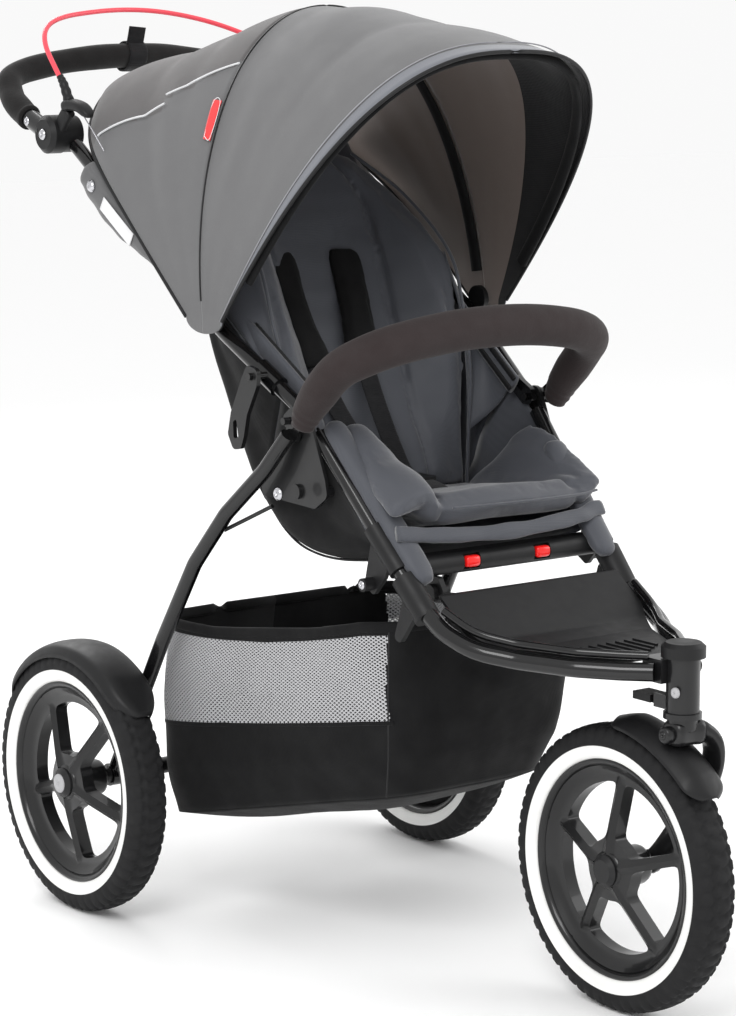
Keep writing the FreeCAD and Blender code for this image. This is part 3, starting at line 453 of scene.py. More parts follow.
def inflate(piece, cap, pressure=4.0, voxel=0.005, frames=20):
    """Swells a closed pad with a cloth simulation and keeps each point within cap of where it was."""
    remesh = piece.modifiers.new("even mesh", "REMESH")
    remesh.mode = "VOXEL"
    remesh.voxel_size = voxel
    remesh.use_smooth_shade = True
    final(piece)
    start = numpy.empty(len(piece.data.vertices) * 3)
    piece.data.vertices.foreach_get("co", start)
    cloth = piece.modifiers.new("air", "CLOTH")
    cloth.settings.quality = 5
    cloth.settings.mass = 0.3
    cloth.settings.tension_stiffness = 12
    cloth.settings.compression_stiffness = 12
    cloth.settings.bending_stiffness = 0.4
    cloth.settings.use_pressure = True
    cloth.settings.uniform_pressure_force = pressure
    cloth.settings.effector_weights.gravity = 0
    cloth.collision_settings.use_collision = False
    cloth.point_cache.frame_start = 1
    cloth.point_cache.frame_end = frames
    scene = bpy.context.scene
    for step in range(1, frames + 1):
        scene.frame_set(step)
    final(piece)
    scene.frame_set(1)
    swollen = numpy.empty(len(start))
    piece.data.vertices.foreach_get("co", swollen)
    shift = (swollen - start).reshape(-1, 3)
    length = numpy.linalg.norm(shift, axis=1, keepdims=True)
    shift *= numpy.minimum(1, cap / numpy.maximum(length, 1e-9))
    piece.data.vertices.foreach_set("co", (start.reshape(-1, 3) + shift).ravel())
    fine = piece.modifiers.new("smooth", "SUBSURF")
    fine.levels = fine.render_levels = 1
    final(piece)
    piece.data.polygons.foreach_set("use_smooth", [True] * len(piece.data.polygons))
    return piece


def settle(piece, body, replaces=None):
    """Hides the CAD node a piece stands for, when one is given, and attaches the piece to the body it rides.
    """
    if replaces:
        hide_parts(replaces)
    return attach(piece, body)


def mirrored(points, side):
    """The same points on the given side; the lists are written for the left, where x is positive."""
    return [(side * x, y, z) for x, y, z in points]


# ---------------------------------------------------------------- finishes of the CAD parts

def finish_cad_parts():
    for row in frame["record"]["subparts"]:
        mesh = frame["nodes"][row["node"]].data
        mesh.materials.clear()
        mesh.materials.append(MATERIALS[row["material_slot"]])


# ---------------------------------------------------------------- wheels

WHITE_EDGE = 0.1286
SPOKES = 5
HALF_PITCH = math.radians(180 / SPOKES)
SPOKE_DEPTH = 0.015
HUB_REACH, BARREL_REACH = 0.018, 0.107
TREAD_BLOCKS, TREAD_MIDDLE, GROOVE, CHEVRON = 60, 0.0125, 0.0021, 26


def tyre(name, centre, body, replaced):
    """Tyre with a white side ring, a chevron tread and shoulder notches."""
    side_run = [(0.0170, 0.1146), (0.0196, 0.1160), (0.0212, 0.1195), (0.0220, 0.1240),
                (0.0223, WHITE_EDGE - 0.0004), (0.0228, WHITE_EDGE), (0.0229, 0.1300), (0.0226, 0.1345),
                (0.0219, 0.1385), (0.0208, 0.1420), (0.0192, 0.1448), (0.0172, 0.1468), (0.0148, 0.1481),
                (0.0122, 0.1489), (0.0095, 0.1494), (0.0068, 0.1497), (0.0040, 0.1499), (0.0014, 0.1500)]
    profile = side_run + [(-x, r) for x, r in reversed(side_run)]

    def tread(x, r, angle):
        edge = abs(x)
        if r < 0.1335 or edge > 0.0226:
            return r
        turn = angle / (2 * math.pi) * TREAD_BLOCKS
        lean = CHEVRON * edge if edge < TREAD_MIDDLE else CHEVRON * TREAD_MIDDLE + 0.5
        cut = (turn + lean) % 1 < (0.3 if edge < TREAD_MIDDLE else 0.36)
        ring = 0.0110 < edge < 0.0136 or edge < 0.0008
        return r - (GROOVE if cut or ring else 0)

    def white(first, second):
        beside = min(abs(first[0]), abs(second[0])) > 0.0165
        return 1 if max(first[1], second[1]) <= WHITE_EDGE and beside else 0

    piece = lathe(name, profile, centre, [MATERIALS["tyre_rubber"], WHITE_RUBBER], steps=TREAD_BLOCKS * 6,
                  pick=white, radius=tread)
    return settle(piece, body, replaces=replaced)


def rim_height(r, reach):
    """Distance of the spokes' face from the wheel's middle plane, at reach from a spoke's line."""
    dish = between(((0.016, 0.0215), (0.034, 0.0185), (0.0885, 0.0050), (0.098, 0.0062), (0.1070, 0.0135)), r)
    ridge = 0.0042 * max(0.0, 1 - reach / 0.0062) * (1 - min(1.0, max(0.0, (r - 0.088) / 0.010)))
    return dish + ridge


def spoke_window():
    """Rounded outline of one opening between two spokes, in the wheel's plane, middled on the first axis."""
    inner, outer, slim = 0.033, 0.0900, 0.0064
    corners = []
    for r, turns in ((inner, (-1, 0, 1)), (outer, (1, 0.66, 0.33, 0, -0.33, -0.66, -1))):
        limit = HALF_PITCH - math.asin(slim / r)
        corners += [(r * math.cos(limit * turn), r * math.sin(limit * turn)) for turn in turns]
    points = []
    for index, (x, y) in enumerate(corners):
        ex, ey = corners[(index + 1) % len(corners)]
        run = max(1, round(math.dist((x, y), (ex, ey)) / 0.002))
        points += [(x + (ex - x) * step / run, y + (ey - y) * step / run) for step in range(run)]
    for _ in range(9):
        count = len(points)
        trios = [(points[index - 1], points[index], points[(index + 1) % count]) for index in range(count)]
        points = [tuple((a[axis] + b[axis] + c[axis]) / 3 for axis in (0, 1)) for a, b, c in trios]
    return points


def rim(name, centre, body, outer, phase, replaced):
    """Five ridged spokes in a deep dish, with a barrel and a hub. outer is the side its face looks to."""
    window, vertices, faces = spoke_window(), [], []
    heart_x = 0.064
    edge = []
    # Each point of the window's outline goes out from its heart until it meets a spoke's line, hub or rim.
    for x, y in window:
        near, far = 1.0, 40.0
        for _ in range(40):
            middle = (near + far) / 2
            px, py = heart_x + (x - heart_x) * middle, y * middle
            r, turn = math.hypot(px, py), abs(math.atan2(py, px))
            if HUB_REACH < r < BARREL_REACH and turn < HALF_PITCH:
                near = middle
            else:
                far = middle
        edge.append((heart_x + (x - heart_x) * near, y * near))
    size, rings = len(window), 5
    for spoke in range(SPOKES):
        turned = phase + 2 * math.pi * (spoke + 0.5) / SPOKES
        base = len(vertices)
        for layer, sink in ((0, 0.0), (1, SPOKE_DEPTH)):
            for ring in range(rings + 1):
                for (wx, wy), (ex, ey) in zip(window, edge):
                    share = ring / rings
                    x, y = wx + (ex - wx) * share, wy + (ey - wy) * share
                    r, turn = math.hypot(x, y), abs(math.atan2(y, x))
                    reach = r * math.sin(max(0.0, HALF_PITCH - turn)) if layer == 0 else 1
                    height = rim_height(r, reach) - sink
                    a = x * math.cos(turned) - y * math.sin(turned)
                    b = x * math.sin(turned) + y * math.cos(turned)
                    vertices.append(Vector(centre) + Vector((outer * height, a, b)))
        layer_size = size * (rings + 1)
        for layer in (0, 1):
            for ring in range(rings):
                for step in range(size):
                    first = base + layer * layer_size + ring * size
                    following = (step + 1) % size
                    faces.append((first + step, first + following, first + size + following,
                                  first + size + step))
        for step in range(size):
            following = (step + 1) % size
            faces.append((base + step, base + following, base + layer_size + following,
                          base + layer_size + step))
    star = outward(mesh_object(name + "_spokes", vertices, faces, [MATERIALS["rim_plastic"]]))
    sharp(star)
    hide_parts(replaced)
    lip = [(0.0176, 0.1147), (0.0188, 0.1134), (0.0186, 0.1116), (0.0165, 0.1088), (0.0120, 0.1068),
           (0.0, 0.1062)]
    profile = lip + [(-x, r) for x, r in reversed(lip[:-1])] + [(-0.0120, 0.1147), (0.0120, 0.1147)]
    barrel = lathe(name + "_barrel", profile, centre, [MATERIALS["rim_plastic"]], steps=140)
    hub = [(0.0235, 0.0165), (0.0225, 0.0195), (0.0190, 0.0208)]
    profile = hub + [(-x, r) for x, r in reversed(hub)] + [(-0.0235, 0.0068), (0.0235, 0.0068)]
    core = lathe(name + "_hub", profile, centre, [MATERIALS["rim_plastic"]], steps=60)
    for piece in (star, barrel, core):
        settle(piece, body)


def sharp(piece, angle=35):
    """Smooth shading that keeps edges steeper than the angle crisp."""
    for edge in piece.data.edges:
        edge.use_edge_sharp = False
    work = bmesh.new()
    work.from_mesh(piece.data)
    for edge in work.edges:
        if len(edge.link_faces) == 2 and edge.calc_face_angle(0) > math.radians(angle):
            edge.smooth = False
    work.to_mesh(piece.data)
    work.free()
    return piece


def guard(name, centre, first, last, half, body, replaced, base=0.1535, crown=0.0095, skirt=0.0, flare=0.0):
    """Crowned guard over a tyre, with rounded ends. Angles run from the back over the top to the front."""
    def point(u, v):
        across = 2 * u - 1
        end = min(1.0, min(v, 1 - v) / 0.16)
        wide = half * (1 - 0.62 * (1 - end) ** 2.6)
        reach = base + flare * v ** 3 + crown * (1 - abs(across) ** 2.6) * (0.45 + 0.55 * end)
        reach -= skirt * max(0.0, abs(across) - 0.8) / 0.2
        angle = math.radians(first + (last - first) * v)
        return Vector(centre) + Vector((wide * across, reach * math.cos(angle), reach * math.sin(angle)))
    piece = grid(name, point, 24, 60, [MATERIALS["black_plastic"]])
    outward_from(piece, centre)
    thicken(piece, 0.0026)
    return settle(piece, body, replaces=replaced)


def outward_from(piece, centre):
    """Turns a sheet's faces away from a point."""
    face = piece.data.polygons[len(piece.data.polygons) // 2]
    if (face.center - Vector(centre)).dot(face.normal) < 0:
        piece.data.flip_normals()


def fork():
    """One-sided fork: crown, curved arm on the left, axle, pivot pin and a stay to the guard."""
    head_y, low = -0.480, 0.323
    steel = MATERIALS["satin_black_steel"]
    arm_line = [(0.010, head_y - 0.002, low - 0.016), (0.024, head_y - 0.006, low - 0.018),
                (0.0345, head_y - 0.009, low - 0.032), (0.0362, head_y - 0.003, low - 0.060),
                (0.0368, head_y + 0.026, low - 0.108), (0.0368, head_y + 0.064, low - 0.156),
                (0.0368, head_y + 0.086, low - 0.176)]
    arm = sweep("fork_arm", arm_line, lambda share: 0.0098 - 0.0046 * min(1, share * 2.5),
                lambda share: 0.0115 + 0.0035 * math.sin(math.pi * share), steel, count=60, around=24,
                square=2.6)
    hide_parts("front_fork")
    crown = sweep("fork_crown", [(-0.016, head_y, low - 0.015), (0.004, head_y, low - 0.0145),
                                 (0.022, head_y - 0.004, low - 0.0155)], 0.0135, 0.0150, steel,
                  side=(0, 0, 1), count=30, around=28, square=2.8,
                  shape=lambda share, angle: 1 - 0.3 * abs(2 * share - 1) ** 9)
    stem = sweep("fork_stem", [(0, head_y, low + 0.004), (0, head_y, low - 0.004),
                               (0, head_y, low - 0.012)], 0.0155, 0.0155, steel, count=12, around=32)
    stay = sweep("fork_stay", [(0, head_y + 0.002, low - 0.018), (0, head_y + 0.007, low - 0.030),
                               (0, head_y + 0.010, low - 0.038)], 0.0095, 0.0075, steel, count=12,
                 around=20, square=2.6)
    axle = lathe("fork_axle", [(-0.0200, 0.0003), (-0.0200, 0.0060), (0.0310, 0.0060), (0.0320, 0.0125),
                               (0.0425, 0.0125), (0.0440, 0.0100), (0.0440, 0.0003)],
                 (0, head_y + 0.085, 0.150), [steel], steps=40)
    pin = lathe("fork_pin", [(-0.0120, 0.0003), (-0.0120, 0.0085), (-0.0245, 0.0085), (-0.0262, 0.0068),
                             (-0.0262, 0.0003)], (0, head_y, low - 0.015), [steel], steps=36)
    for piece in (arm, crown, stem, stay, axle, pin):
        settle(piece, "front_fork")


def wheels():
    """Three wheels, each set in the middle of its CAD tyre, and their guards."""
    for word, side in SIDES:
        low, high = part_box(f"rear_tyre_{word}")
        centre = (low + high) / 2
        body = f"rear_wheel_{word}"
        tyre(f"rear_tyre_{word}_rubber", centre, body, f"rear_tyre_{word}")
        rim(f"rear_rim_{word}", centre, body, side, math.radians(-90), f"rear_rim_{word}")
        low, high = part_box(f"rear_hub_cap_{word}")
        tip = Vector((high.x if side > 0 else low.x, centre.y, centre.z))
        button = ((-0.001, 0.0003), (-0.001, 0.0110), (0.0012, 0.0106), (0.002, 0.008), (0.002, 0.0003))
        disc = [(side * x, r) for x, r in button]
        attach(lathe(f"hub_button_{word}", disc, tip, [PALE_PLASTIC], steps=40), body)
        low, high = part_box(f"mudguard_{word}")
        guard(f"rear_guard_{word}", ((low.x + high.x) / 2, centre.y, centre.z), 27, 142,
              (high.x - low.x) / 2 + 0.003, "rear_frame", f"mudguard_{word}", base=0.1515, crown=0.0085,
              skirt=0.008)
    low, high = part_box("front_tyre")
    centre = (low + high) / 2
    tyre("front_tyre_rubber", centre, "front_wheel", "front_tyre")
    rim("front_rim", centre, "front_wheel", -1, math.radians(90), "front_rim")
    guard("front_guard", centre, 88, 143, 0.0275, "front_fork", "front_fender", crown=0.0125, flare=0.007)
    fork()


# ---------------------------------------------------------------- canopy

HINGE = ((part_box("canopy_hinges")[0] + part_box("canopy_hinges")[1]) / 2).yz
ROOF_LINE = ((0.405, 0.946), (0.287, 0.975), (0.207, 1.000), (0.125, 1.019), (0.078, 1.020), (-0.064, 1.006),
             (-0.167, 0.990), (-0.213, 0.975))
ARCH_POWER = ((39, 0.66), (60, 0.78), (84, 0.98), (105, 0.88), (135, 0.74))
CANOPY_HALF = 0.1975
BREAK_ANGLE, MIDDLE_ANGLE = 60.0, 82.0
REAR_SAG = 4.0
SHADE_FROM, VISOR_FROM = 0.66, 0.955
ROOF_ANGLES = [(math.degrees(math.atan2(z - HINGE.y, y - HINGE.x)), math.hypot(z - HINGE.y, y - HINGE.x))
               for y, z in ROOF_LINE]
REAR_ANGLE, FRONT_ANGLE = ROOF_ANGLES[0][0], ROOF_ANGLES[-1][0]
MIDDLE_LEAN = (REAR_ANGLE + FRONT_ANGLE) / 2
FOOT_HALF, FOOT_DROP = 0.034, 0.016
HEM_SHARE, HEM_TURN = 0.05, 8


def canopy_point(angle, turn, lift=0.0):
    """Point of the cloth: angle is the arch's lean about the hinge, turn 0 its right foot, 180 its left one.
    Below 0 and above 180 the cloth rounds off under the hinge."""
    inside = min(max(turn, 0.0), 180.0)
    radius = between(ROOF_ANGLES, angle) + lift
    power = between(ARCH_POWER, angle)
    cosine, sine = math.cos(math.radians(inside)), math.sin(math.radians(inside))
    x = -(CANOPY_HALF + lift) * math.copysign(abs(cosine) ** power, cosine)
    share = max(sine, 0.0) ** power
    lean = math.radians(angle)
    ahead = (angle - MIDDLE_LEAN) / (FRONT_ANGLE - MIDDLE_LEAN)
    y = HINGE.x + radius * share * math.cos(lean) - FOOT_HALF * ahead * (1 - share)
    z = HINGE.y + radius * share * math.sin(lean)
    under = max(0.0, -turn, turn - 180) / HEM_TURN
    drop = FOOT_DROP * math.sqrt(max(0.0, 1 - ahead ** 2)) * math.sin(math.pi / 2 * min(1.0, under))
    return Vector((x, y, z - drop))


def canopy_turn(u):
    """Turn round the arch for a share of the cloth's width; the outer shares are the rounded feet."""
    if u < HEM_SHARE:
        return (u / HEM_SHARE - 1) * HEM_TURN
    if u > 1 - HEM_SHARE:
        return 180 + (u - 1 + HEM_SHARE) / HEM_SHARE * HEM_TURN
    return 90 * (1 - math.cos(math.pi * (u - HEM_SHARE) / (1 - 2 * HEM_SHARE)))


def sag(turn):
    """Degrees by which the rear edge hangs below its arch, deepest on the flanks."""
    return REAR_SAG * math.sin(math.radians(2 * turn)) ** 2 if 0 < turn < 180 else 0.0


def canopy_panel(name, first, last, materials, pick, columns=130, rows=34):
    """Cloth between two arches, drawn in a little between them and rippled where it is gathered."""
    def point(u, v):
        turn = canopy_turn(1 - u)
        start = first - sag(turn) if first == REAR_ANGLE else first
        angle = start + (last - start) * v
        roof = max(0.0, math.sin(math.radians(turn)))
        pull = math.sin(math.pi * v) * roof * 0.005
        place = canopy_point(angle, turn, -pull)
        away = Vector((place.x, 0, 0)) * 0.6 + Vector((0, place.y - HINGE.x, place.z - HINGE.y))
        fold = noise.noise(place * 9) * 0.0026 + noise.noise(Vector((angle * 0.12, turn * 0.03, 3))) * 0.0016
        return place + away.normalized() * fold * min(1.0, roof * 2)
    return grid(name, point, columns, rows, materials, pick)


def seam_turn(angle, ahead):
    """Turn of the line between side and roof of the rear panel; its front part starts a step higher."""
    if ahead:
        return 46 + (angle - BREAK_ANGLE) * 8 / (MIDDLE_ANGLE - BREAK_ANGLE)
    return 37 + (angle - REAR_ANGLE) * 6 / (BREAK_ANGLE - REAR_ANGLE)


def arch_line(angle, lift, low=0.0, high=180.0, count=70):
    steps = [0.5 - 0.5 * math.cos(math.pi * step / (count - 1)) for step in range(count)]
    return [canopy_point(angle, low + (high - low) * step, lift) for step in steps]


def canopy_trim(rears, fronts):
    """Piping, seams, reflective lines and the tag."""
    fronts.append(sweep("canopy_rim_piping", arch_line(FRONT_ANGLE, 0.0), 0.0021, 0.0021, PIPING, count=170,
                        around=10))
    fronts.append(sweep("visor_seam", arch_line(FRONT_ANGLE - 3.4, 0.0008), 0.0008, 0.0008, THREAD,
                        count=170, around=6))
    fronts.append(sweep("middle_seam", arch_line(MIDDLE_ANGLE + 0.5, 0.0006, 3, 177), 0.0010, 0.0010,
                        PIPING, count=170, around=8))
    edge = [canopy_point(REAR_ANGLE - sag(turn), turn) for turn in (180 * step / 70 for step in range(71))]
    rears.append(sweep("rear_edge_piping", edge, 0.0022, 0.0022, PIPING, count=170, around=10))
    for word, side in SIDES:
        for part, low, high in (("rear", REAR_ANGLE + 0.4, BREAK_ANGLE),
                                ("front", BREAK_ANGLE, MIDDLE_ANGLE - 0.4)):
            line = []
            for step in range(24):
                angle = low + (high - low) * step / 23
                turn = seam_turn(angle, part == "front")
                line.append(canopy_point(angle, turn if side < 0 else 180 - turn, 0.0012))
            rears.append(sweep(f"reflective_piping_{part}_{word}", line, 0.0016, 0.0012, REFLECTIVE,
                               count=60, around=8))

    def tag_point(u, v):
        return canopy_point(MIDDLE_ANGLE - 3.4 + 3.1 * u, 33.5 + 9.5 * v, 0.0026)
    tag = grid("woven_tag", tag_point, 6, 16, [TAG_RED])
    thicken(tag, 0.0009)
    rears.append(tag)
    border = [tag_point(u, v) for u, v in ((0.1, 0.06), (0.92, 0.06), (0.92, 0.94), (0.1, 0.94), (0.1, 0.06))]
    rears.append(sweep("woven_tag_stitching", border, 0.0004, 0.0004, PAPER, count=60, around=6))


def canopy():
    """Two stretched cloths over two bows, taupe inside, with a shade net and a lighter visor."""
    side_cloth, rear_parts, front_parts = MATERIALS["canopy_fabric"], [], []

    def rear_pick(u, v):
        angle = REAR_ANGLE + (MIDDLE_ANGLE - REAR_ANGLE) * v
        turn = canopy_turn(1 - u)
        return 1 if min(turn, 180 - turn) > seam_turn(angle, angle > BREAK_ANGLE) else 0

    def front_pick(u, v):
        return 2 if v > VISOR_FROM else (1 if v > SHADE_FROM else 0)

    rear = canopy_panel("canopy_rear_cloth", REAR_ANGLE, MIDDLE_ANGLE,
                        [side_cloth, ROOF_CLOTH, LINING_CLOTH, LINING_CLOTH], rear_pick)
    thicken(rear, CANOPY_THICK, inner=2)
    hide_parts("canopy_rear")
    front = canopy_panel("canopy_front_cloth", MIDDLE_ANGLE, FRONT_ANGLE,
                         [side_cloth, side_cloth, VISOR_CLOTH, LINING_CLOTH, SHADE_NET, SHADE_NET],
                         front_pick)
    thicken(front, CANOPY_THICK, inner=3)
    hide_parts("canopy_front")
    canopy_trim(rear_parts, front_parts)
    for piece in [rear] + rear_parts:
        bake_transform(piece)
    for piece in [front] + front_parts:
        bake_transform(piece)
    sleeve = sweep("middle_bow_sleeve", arch_line(MIDDLE_ANGLE, -0.010, 5, 175), 0.0085, 0.0042,
                   MATERIALS["black_fabric"], count=120, around=12, side=(0, 1, 0.2))
    settle(sleeve, "canopy_middle", replaces="canopy_middle_bow")
    rim_sleeve = sweep("front_bow_sleeve", arch_line(FRONT_ANGLE - 1.6, -0.0085, 5, 175), 0.0080, 0.0045,
                       MATERIALS["black_fabric"], count=120, around=12, side=(0, 1, 0.9))
    settle(rim_sleeve, "canopy_front", replaces="canopy_front_bow")


# ---------------------------------------------------------------- seat

def cushion():
    """Seat pad whose wings rise at both sides to a crest."""
    slate = MATERIALS["seat_fabric"]
    edge = [(0.152, -0.190, 0.513), (0.143, -0.145, 0.542), (0.129, -0.085, 0.565), (0.119, -0.042, 0.526),
            (0.112, 0.0, 0.486)]
    crease = [(0.112, -0.199, 0.505), (0.108, -0.150, 0.499), (0.100, -0.085, 0.489), (0.098, -0.040, 0.482),
              (0.098, 0.006, 0.476)]
    centre = [(0.0, -0.208, 0.507), (0.0, -0.150, 0.498), (0.0, -0.085, 0.487), (0.0, -0.040, 0.480),
              (0.0, 0.010, 0.474)]
    near_crease = [(-0.080, -0.205, 0.505), (-0.083, -0.150, 0.500), (-0.085, -0.085, 0.491),
                   (-0.086, -0.040, 0.483), (-0.086, 0.006, 0.476)]
    near_crest = [(-0.105, -0.203, 0.514), (-0.105, -0.150, 0.541), (-0.105, -0.088, 0.574),
                  (-0.100, -0.042, 0.532), (-0.098, 0.003, 0.486)]
    near_edge = [(-0.148, -0.190, 0.496), (-0.139, -0.145, 0.522), (-0.122, -0.088, 0.556),
                 (-0.112, -0.042, 0.522), (-0.106, 0.0, 0.484)]
    base = pad("seat_cushion", [near_edge, near_crest, near_crease, centre, crease, edge], 0.011, 0.012,
               [slate], seams=((0.40, 0.014, 0.5), (0.80, 0.014, 0.5)), edge=14, ends=14)
    inflate(base, 0.006, voxel=0.004)
    settle(base, "chassis", "seat_base")


def back_pad():
    """Back pad with two sewn channels and a piped edge."""
    slate = MATERIALS["seat_fabric"]
    edge = [(0.120, 0.014, 0.482), (0.122, 0.014, 0.545), (0.126, 0.016, 0.612), (0.131, 0.036, 0.682),
            (0.131, 0.062, 0.745), (0.121, 0.132, 0.806), (0.086, 0.186, 0.852)]
    seam = [(0.066, 0.002, 0.484), (0.066, 0.036, 0.545), (0.071, 0.070, 0.610), (0.076, 0.103, 0.680),
            (0.081, 0.134, 0.745), (0.078, 0.166, 0.806), (0.052, 0.196, 0.862)]
    centre = [(0.0, 0.018, 0.484), (0.0, 0.050, 0.545), (0.0, 0.084, 0.612), (0.0, 0.118, 0.681),
              (0.0, 0.150, 0.748), (0.0, 0.180, 0.812), (0.0, 0.202, 0.868)]
    columns = [mirrored(edge, -1), mirrored(seam, -1), centre, seam, edge]
    back = pad("seat_back_pad", columns, 0.012, 0.010, [slate], rows=52, edge=9,
               seams=((0.25, 0.016, 0.85), (0.75, 0.016, 0.85)))
    inflate(back, 0.006, voxel=0.0045)
    settle(back, "seat_back", "seat_back")

    for word, side in SIDES:
        back_line = mirrored([(x + 0.001, y - 0.002, z) for x, y, z in edge], side)
        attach(sweep(f"back_piping_{word}", back_line, 0.0020, 0.0020, slate, count=90, around=8),
                "seat_back")


def front_hem():
    """Seam along the cushion's lip, and the loose rolled hem of the seat's base under it."""
    slate = MATERIALS["seat_fabric"]
    lip_line = [(-0.078, -0.2110, 0.5065), (-0.020, -0.2150, 0.506), (0.040, -0.2145, 0.505),
                (0.100, -0.2085, 0.504), (0.128, -0.2020, 0.505)]
    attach(sweep("cushion_lip_seam", lip_line, SEAM_HALF, SEAM_HALF, slate, count=70, around=8), "chassis")

    hem = [(0.140, -0.196, 0.484), (0.085, -0.204, 0.478), (0.0, -0.208, 0.474), (-0.085, -0.204, 0.478),
           (-0.140, -0.196, 0.484)]

    def rumpled(share, angle):
        return 1 + 0.30 * noise.noise(Vector((share * 9, math.cos(angle), 4)))

    roll = sweep("base_front_hem", hem, 0.0085, 0.0042, slate, side=(0, 0.55, 1), count=70, around=18,
                 square=2.4, shape=rumpled)
    settle(roll, "chassis")


def seat():
    cushion()
    back_pad()
    front_hem()
    harness()
    seat_shell()
    side_cloths()


SHOULDER_PADS = {
    "right": ((-0.056, 0.134, 0.751), (-0.059, 0.095, 0.687), (-0.056, 0.056, 0.628)),
    "left": ((0.034, 0.131, 0.748), (0.026, 0.097, 0.688), (0.012, 0.062, 0.630)),
}


def harness():
    """Shoulder pads and straps down to the buckle."""
    def rounded(share, angle):
        return 1 - 0.25 * abs(2 * share - 1) ** 10

    for word, (top, middle, end) in SHOULDER_PADS.items():
        sleeve = sweep(f"shoulder_pad_{word}", [top, middle, end], 0.0225, 0.0065, MATERIALS["black_fabric"],
                       count=36, around=20, square=3.4, shape=rounded)
        inflate(sleeve, 0.002, voxel=0.004)
        settle(sleeve, "seat_back")
        line = [end, (end[0] * 0.8, 0.030, 0.578), (end[0] * 0.5, -0.010, 0.526),
                (end[0] * 0.25, -0.034, 0.508)]
        strap = sweep(f"shoulder_strap_{word}", line, STRAP_HALF, STRAP_THIN, STRAP, count=30, around=12,
                      square=5)
        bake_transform(strap)
        tape = [(top[0] + x, top[1] + 0.014, top[2] + 0.012) for x in (-0.014, 0.014)]
        mark = sweep(f"slot_tape_{word}", tape, 0.0016, 0.0010, REFLECTIVE, side=(0, 0, 1), count=6, around=8)
        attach(mark, "seat_back")
    crotch = sweep("crotch_strap", [(0, -0.105, 0.500), (0, -0.085, 0.506), (0, -0.060, 0.510)], STRAP_HALF,
                   STRAP_THIN, STRAP, count=12, around=12, square=5)
    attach(crotch, "chassis")


SHELL_EDGE = [(0.150, -0.165, 0.478), (0.150, -0.105, 0.535), (0.152, -0.055, 0.582),
              (0.154, -0.015, 0.612), (0.158, 0.033, 0.652), (0.162, 0.084, 0.694), (0.166, 0.150, 0.748),
              (0.167, 0.228, 0.806), (0.161, 0.292, 0.850)]
SHELL_BACK = [(0.122, -0.168, 0.454), (0.128, -0.085, 0.443), (0.130, -0.015, 0.450), (0.130, 0.040, 0.486),
              (0.128, 0.088, 0.548), (0.126, 0.132, 0.626), (0.124, 0.174, 0.716), (0.120, 0.212, 0.800),
              (0.112, 0.244, 0.868)]


HULL_ROWS, HULL_COLUMNS = 48, 72
SPLIT_ROW = 18


def seat_shell():
    """Black cloth hull with a slate inside: one cloth under the seat and one behind it."""
    centre = [(0.0, y + 0.004, z - 0.006) for x, y, z in SHELL_BACK]
    columns = [mirrored(SHELL_EDGE, -1), mirrored(SHELL_BACK, -1), centre, SHELL_BACK, SHELL_EDGE]
    runs = [smooth_route(column, HULL_ROWS + 1) for column in columns]

    def point(u, row):
        lane = [run[row] for run in runs]
        corner = smooth_route([lane[0], lane[0].lerp(lane[1], 0.55) + Vector((-0.004, 0, 0)), lane[1],
                               lane[2], lane[3], lane[3].lerp(lane[4], 0.45) + Vector((0.004, 0, 0)),
                               lane[4]], HULL_COLUMNS + 1)
        place = corner[round(u * HULL_COLUMNS)]
        return place + Vector((0, 0.6, -0.5)) * noise.noise(place * 15) * 0.004

    def under(u, v):
        return point(u, round(SPLIT_ROW * v))

    def behind(u, v):
        place = point(u, SPLIT_ROW + round((HULL_ROWS - SPLIT_ROW) * v))
        return place + Vector((0, 0.0006, -0.0006)) * (1 - v)

    cloths = [MATERIALS["seat_fabric"], MATERIALS["black_fabric"]]
    shell = grid("seat_hull_cloth", under, HULL_COLUMNS, SPLIT_ROW, cloths)
    rear = grid("seat_rear_cloth", behind, HULL_COLUMNS, HULL_ROWS - SPLIT_ROW, cloths)
    for piece in (shell, rear):
        thicken(piece, CLOTH_THICK, inner=1)
    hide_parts("seat_shell")
    pieces = [(shell, rear)]
    for word, side in SIDES:
        line = [(side * x + side * 0.001, y + 0.002, z - 0.003) for x, y, z in SHELL_BACK]
        route = smooth_route(line, HULL_ROWS + 1)
        low = sweep(f"hull_seam_{word}", route[:SPLIT_ROW + 1:3], SEAM_HALF, SEAM_HALF, PIPING, count=40,
                    around=8)
        high = sweep(f"rear_seam_{word}", route[SPLIT_ROW::3], SEAM_HALF, SEAM_HALF, PIPING, count=60,
                     around=8)
        pieces.append((low, high))
    for low, high in pieces:
        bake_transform(low)
        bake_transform(high)


WEB_ROWS = 24


